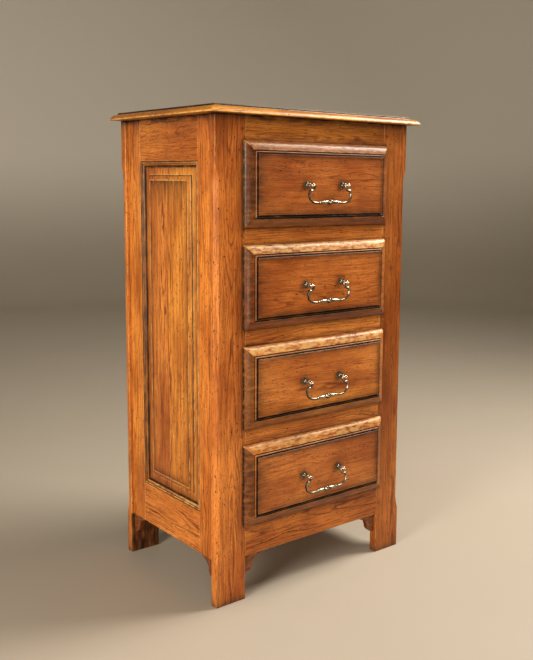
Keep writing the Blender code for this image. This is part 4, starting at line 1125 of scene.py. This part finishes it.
def bail_radius(x, z):
    """Radius and grime of the bail's rod: plain arms with a ball at the cusp, and a turned lower bar."""
    x = abs(x)
    wire = 0.0026
    if z > -0.033:
        cusp = math.exp(-((x - (BAIL_REACH - 0.0030)) ** 2 + (z + 0.0118) ** 2) / 0.0024 ** 2)
        return wire + 0.0010 * cusp, 0.28
    marks = [(0.0, 0.0060, 0.05), (0.0010, 0.0058, 0.1), (0.0016, 0.0053, 0.9), (0.0022, 0.0057, 0.2),
             (0.0038, 0.0048, 0.1), (0.0052, 0.0030, 0.9), (0.0058, 0.0026, 1.0), (0.0064, 0.0040, 0.1),
             (0.0074, 0.0041, 0.1), (0.0080, 0.0028, 1.0), (0.0088, 0.0027, 0.9), (0.0096, 0.0033, 0.2),
             (0.0140, 0.0038, 0.05), (0.0190, 0.0038, 0.05), (0.0260, 0.0031, 0.15), (0.0300, 0.0025, 0.5),
             (0.0306, 0.0022, 1.0), (0.0312, 0.0032, 0.1), (0.0320, 0.0032, 0.1), (0.0326, 0.0022, 1.0),
             (0.0340, 0.0023, 0.5), (0.0700, wire, 0.3)]
    for (x0, r0, g0), (x1, r1, g1) in zip(marks, marks[1:]):
        if x0 <= x <= x1:
            t = (x - x0) / (x1 - x0)
            return r0 + (r1 - r0) * t, g0 + (g1 - g0) * t
    return wire, 0.3


def build_bail(number, metal):
    """A bent rod, pin to pin, that hangs in the two post heads."""
    node = f"drawer_{number}_bail"
    hinge_y = BOX[f"drawer_{number}_post_left"][0].y + HEAD_RADIUS + FINIAL
    hinge_z = front_middle(number)
    pin = POST_SPACING / 2 - HEAD_RADIUS - GAP - 0.0022
    wide, drop = BAIL_REACH, BAIL_DROP
    nodes = [(pin + 0.0045, 0.0), (pin + 0.0016, 0.0), (pin + 0.0001, -0.0012), (pin + 0.0012, -0.0057),
             (pin + 0.0062, -0.0108), (wide - 0.0045, -0.0120), (wide - 0.0008, -0.0160), (wide, -0.0213),
             (wide - 0.0028, -0.0296), (wide * 0.80, -0.0363), (wide * 0.60, -drop),
             (wide * 0.40, -drop * 0.982), (wide * 0.2, -drop * 0.958), (0.0, -drop * 0.955)]
    turnings = smooth_path(nodes[-4:], 24)[24:]
    half = [p for p in smooth_path(nodes[:-2], 9) if p[0] > turnings[0][0] or p[1] > -0.03] + turnings
    clean = half[:1]
    for point in half[1:] + [(-x, z) for x, z in reversed(half[:-1])]:
        if math.dist(point, clean[-1]) > 0.00025:
            clean.append(point)
    sides, sections, dirt_and_shade = 16, [], []
    for index, (x, z) in enumerate(clean):
        before, after = clean[max(index - 1, 0)], clean[min(index + 1, len(clean) - 1)]
        along = Vector((after[0] - before[0], 0, after[1] - before[1])).normalized()
        out = Vector((along.z, 0, -along.x))
        radius, grime = bail_radius(x, z)
        if z > -0.0006:
            radius = 0.0014
        ring = []
        for i in range(sides):
            t = 2 * math.pi * i / sides
            ring.append(Vector((x, hinge_y, hinge_z + z)) + out * (radius * math.cos(t))
                        + Vector((0, radius * math.sin(t), 0)))
            # Painted shade: the rod is darkened on its lower and outer sides and on its side towards the
            # drawer, over the grime of its turnings.
            facing = out * math.cos(t)
            shaded_side = max(0.0, -facing.z) + max(0.0, math.copysign(1, x) * facing.x)
            dirt_and_shade.append(min(1.0, grime + 0.75 * max(0.0, math.sin(t)) + 1.0 * shaded_side))
        sections.append(ring)
    piece = Piece()
    loft(piece, sections, METAL, grime=dirt_and_shade)
    piece.make(node + "_rod", metal, f"bail_{number}", [node], wobble=0, angle=50)


# ---- Stage

def build_stage():
    """Plain pale floor that curves up into a wall, a pale world and soft lights."""
    reach, curve, height, sides, under = 4.4, 1.2, 3.6, 96, 0.0002
    profile = [(0.6, 0.0), (1.5, 0.0), (reach, 0.0)]
    profile += [(reach + curve * math.sin(t), curve * (1 - math.cos(t)))
                for t in [math.radians(7.5 * i) for i in range(1, 13)]] + [(reach + curve, height)]
    turns = [2 * math.pi * i / sides for i in range(sides)]
    points = [(r * math.cos(t), r * math.sin(t), cad_low.z + z - under) for r, z in profile for t in turns]
    faces = [face[::-1] for face in ring_faces(len(profile), sides)] + [list(range(sides))]
    mesh = bpy.data.meshes.new("floor")
    mesh.from_pydata(points, [], faces)
    mesh.shade_smooth()
    floor = bpy.data.objects.new("floor", mesh)
    bpy.context.scene.collection.objects.link(floor)
    g = Graph("floor")
    place = g.node("TexCoord", {}, 3)
    cloud = g.noise(place, 3.0, 0.6, 1.7)
    colour = g.mix(cloud, (0.44, 0.38, 0.30, 1), (0.48, 0.42, 0.34, 1))
    height = g.node("SeparateXYZ", {0: place}, 2)
    colour = g.mix(g.band(height, 0.1, 1.2), colour, (0.86, 0.80, 0.70, 1))
    floor.data.materials.append(g.finish(colour, 0.55, g.noise(place, 3.0, 0.6, 300.0), 0.0002))

    world = bpy.data.worlds.new("studio")
    bpy.context.scene.world = world
    world.use_nodes = True
    background = world.node_tree.nodes["Background"]
    background.inputs["Color"].default_value = (0.94, 0.87, 0.74, 1)
    background.inputs["Strength"].default_value = AMBIENT

    for name, place, size, power, colour in LIGHTS:
        data = bpy.data.lights.new(name, "AREA")
        data.shape = "DISK"
        data.size = size
        data.energy = power
        data.color = colour
        lamp = bpy.data.objects.new(name, data)
        lamp.location = place
        lamp.rotation_euler = (Vector((0, 0, 0.55)) - Vector(place)).to_track_quat("-Z", "Y").to_euler()
        bpy.context.scene.collection.objects.link(lamp)
    bpy.context.scene.view_settings.view_transform = "Standard"


def main():
    set_camera()
    build_stage()
    waxed = oak("waxed_oak", light=(0.62, 0.195, 0.034), dark=(0.18, 0.042, 0.012),
                grime_colour=(0.012, 0.005, 0.004), wear_colour=(0.92, 0.60, 0.22))
    # A darker copy of the waxed oak, for the brackets in the shade under the rails: painted shade.
    dark = oak("dark_oak", light=(0.17, 0.040, 0.008), dark=(0.070, 0.016, 0.005),
               grime_colour=(0.018, 0.007, 0.004), wear_colour=(0.34, 0.12, 0.04))
    plain = oak("plain_oak", light=(0.50, 0.30, 0.135), dark=(0.30, 0.155, 0.060),
                grime_colour=(0.06, 0.035, 0.018), wear_colour=(0.58, 0.38, 0.20),
                gloss=0.62, coat=0.0, patch=0.35)
    metal = pewter()
    build_stiles(waxed)
    build_front_rails(waxed)
    build_web_frames(waxed)
    build_side_frames(waxed)
    build_side_panels(waxed)
    build_top(waxed)
    build_back(plain)
    build_brackets(dark)
    build_pegs(waxed)
    for number in DRAWERS:
        build_drawer_front(number, waxed)
        build_drawer_box(number, plain)
        for _, label in SIDES:
            build_post(number, label, metal)
        build_bail(number, metal)


main()
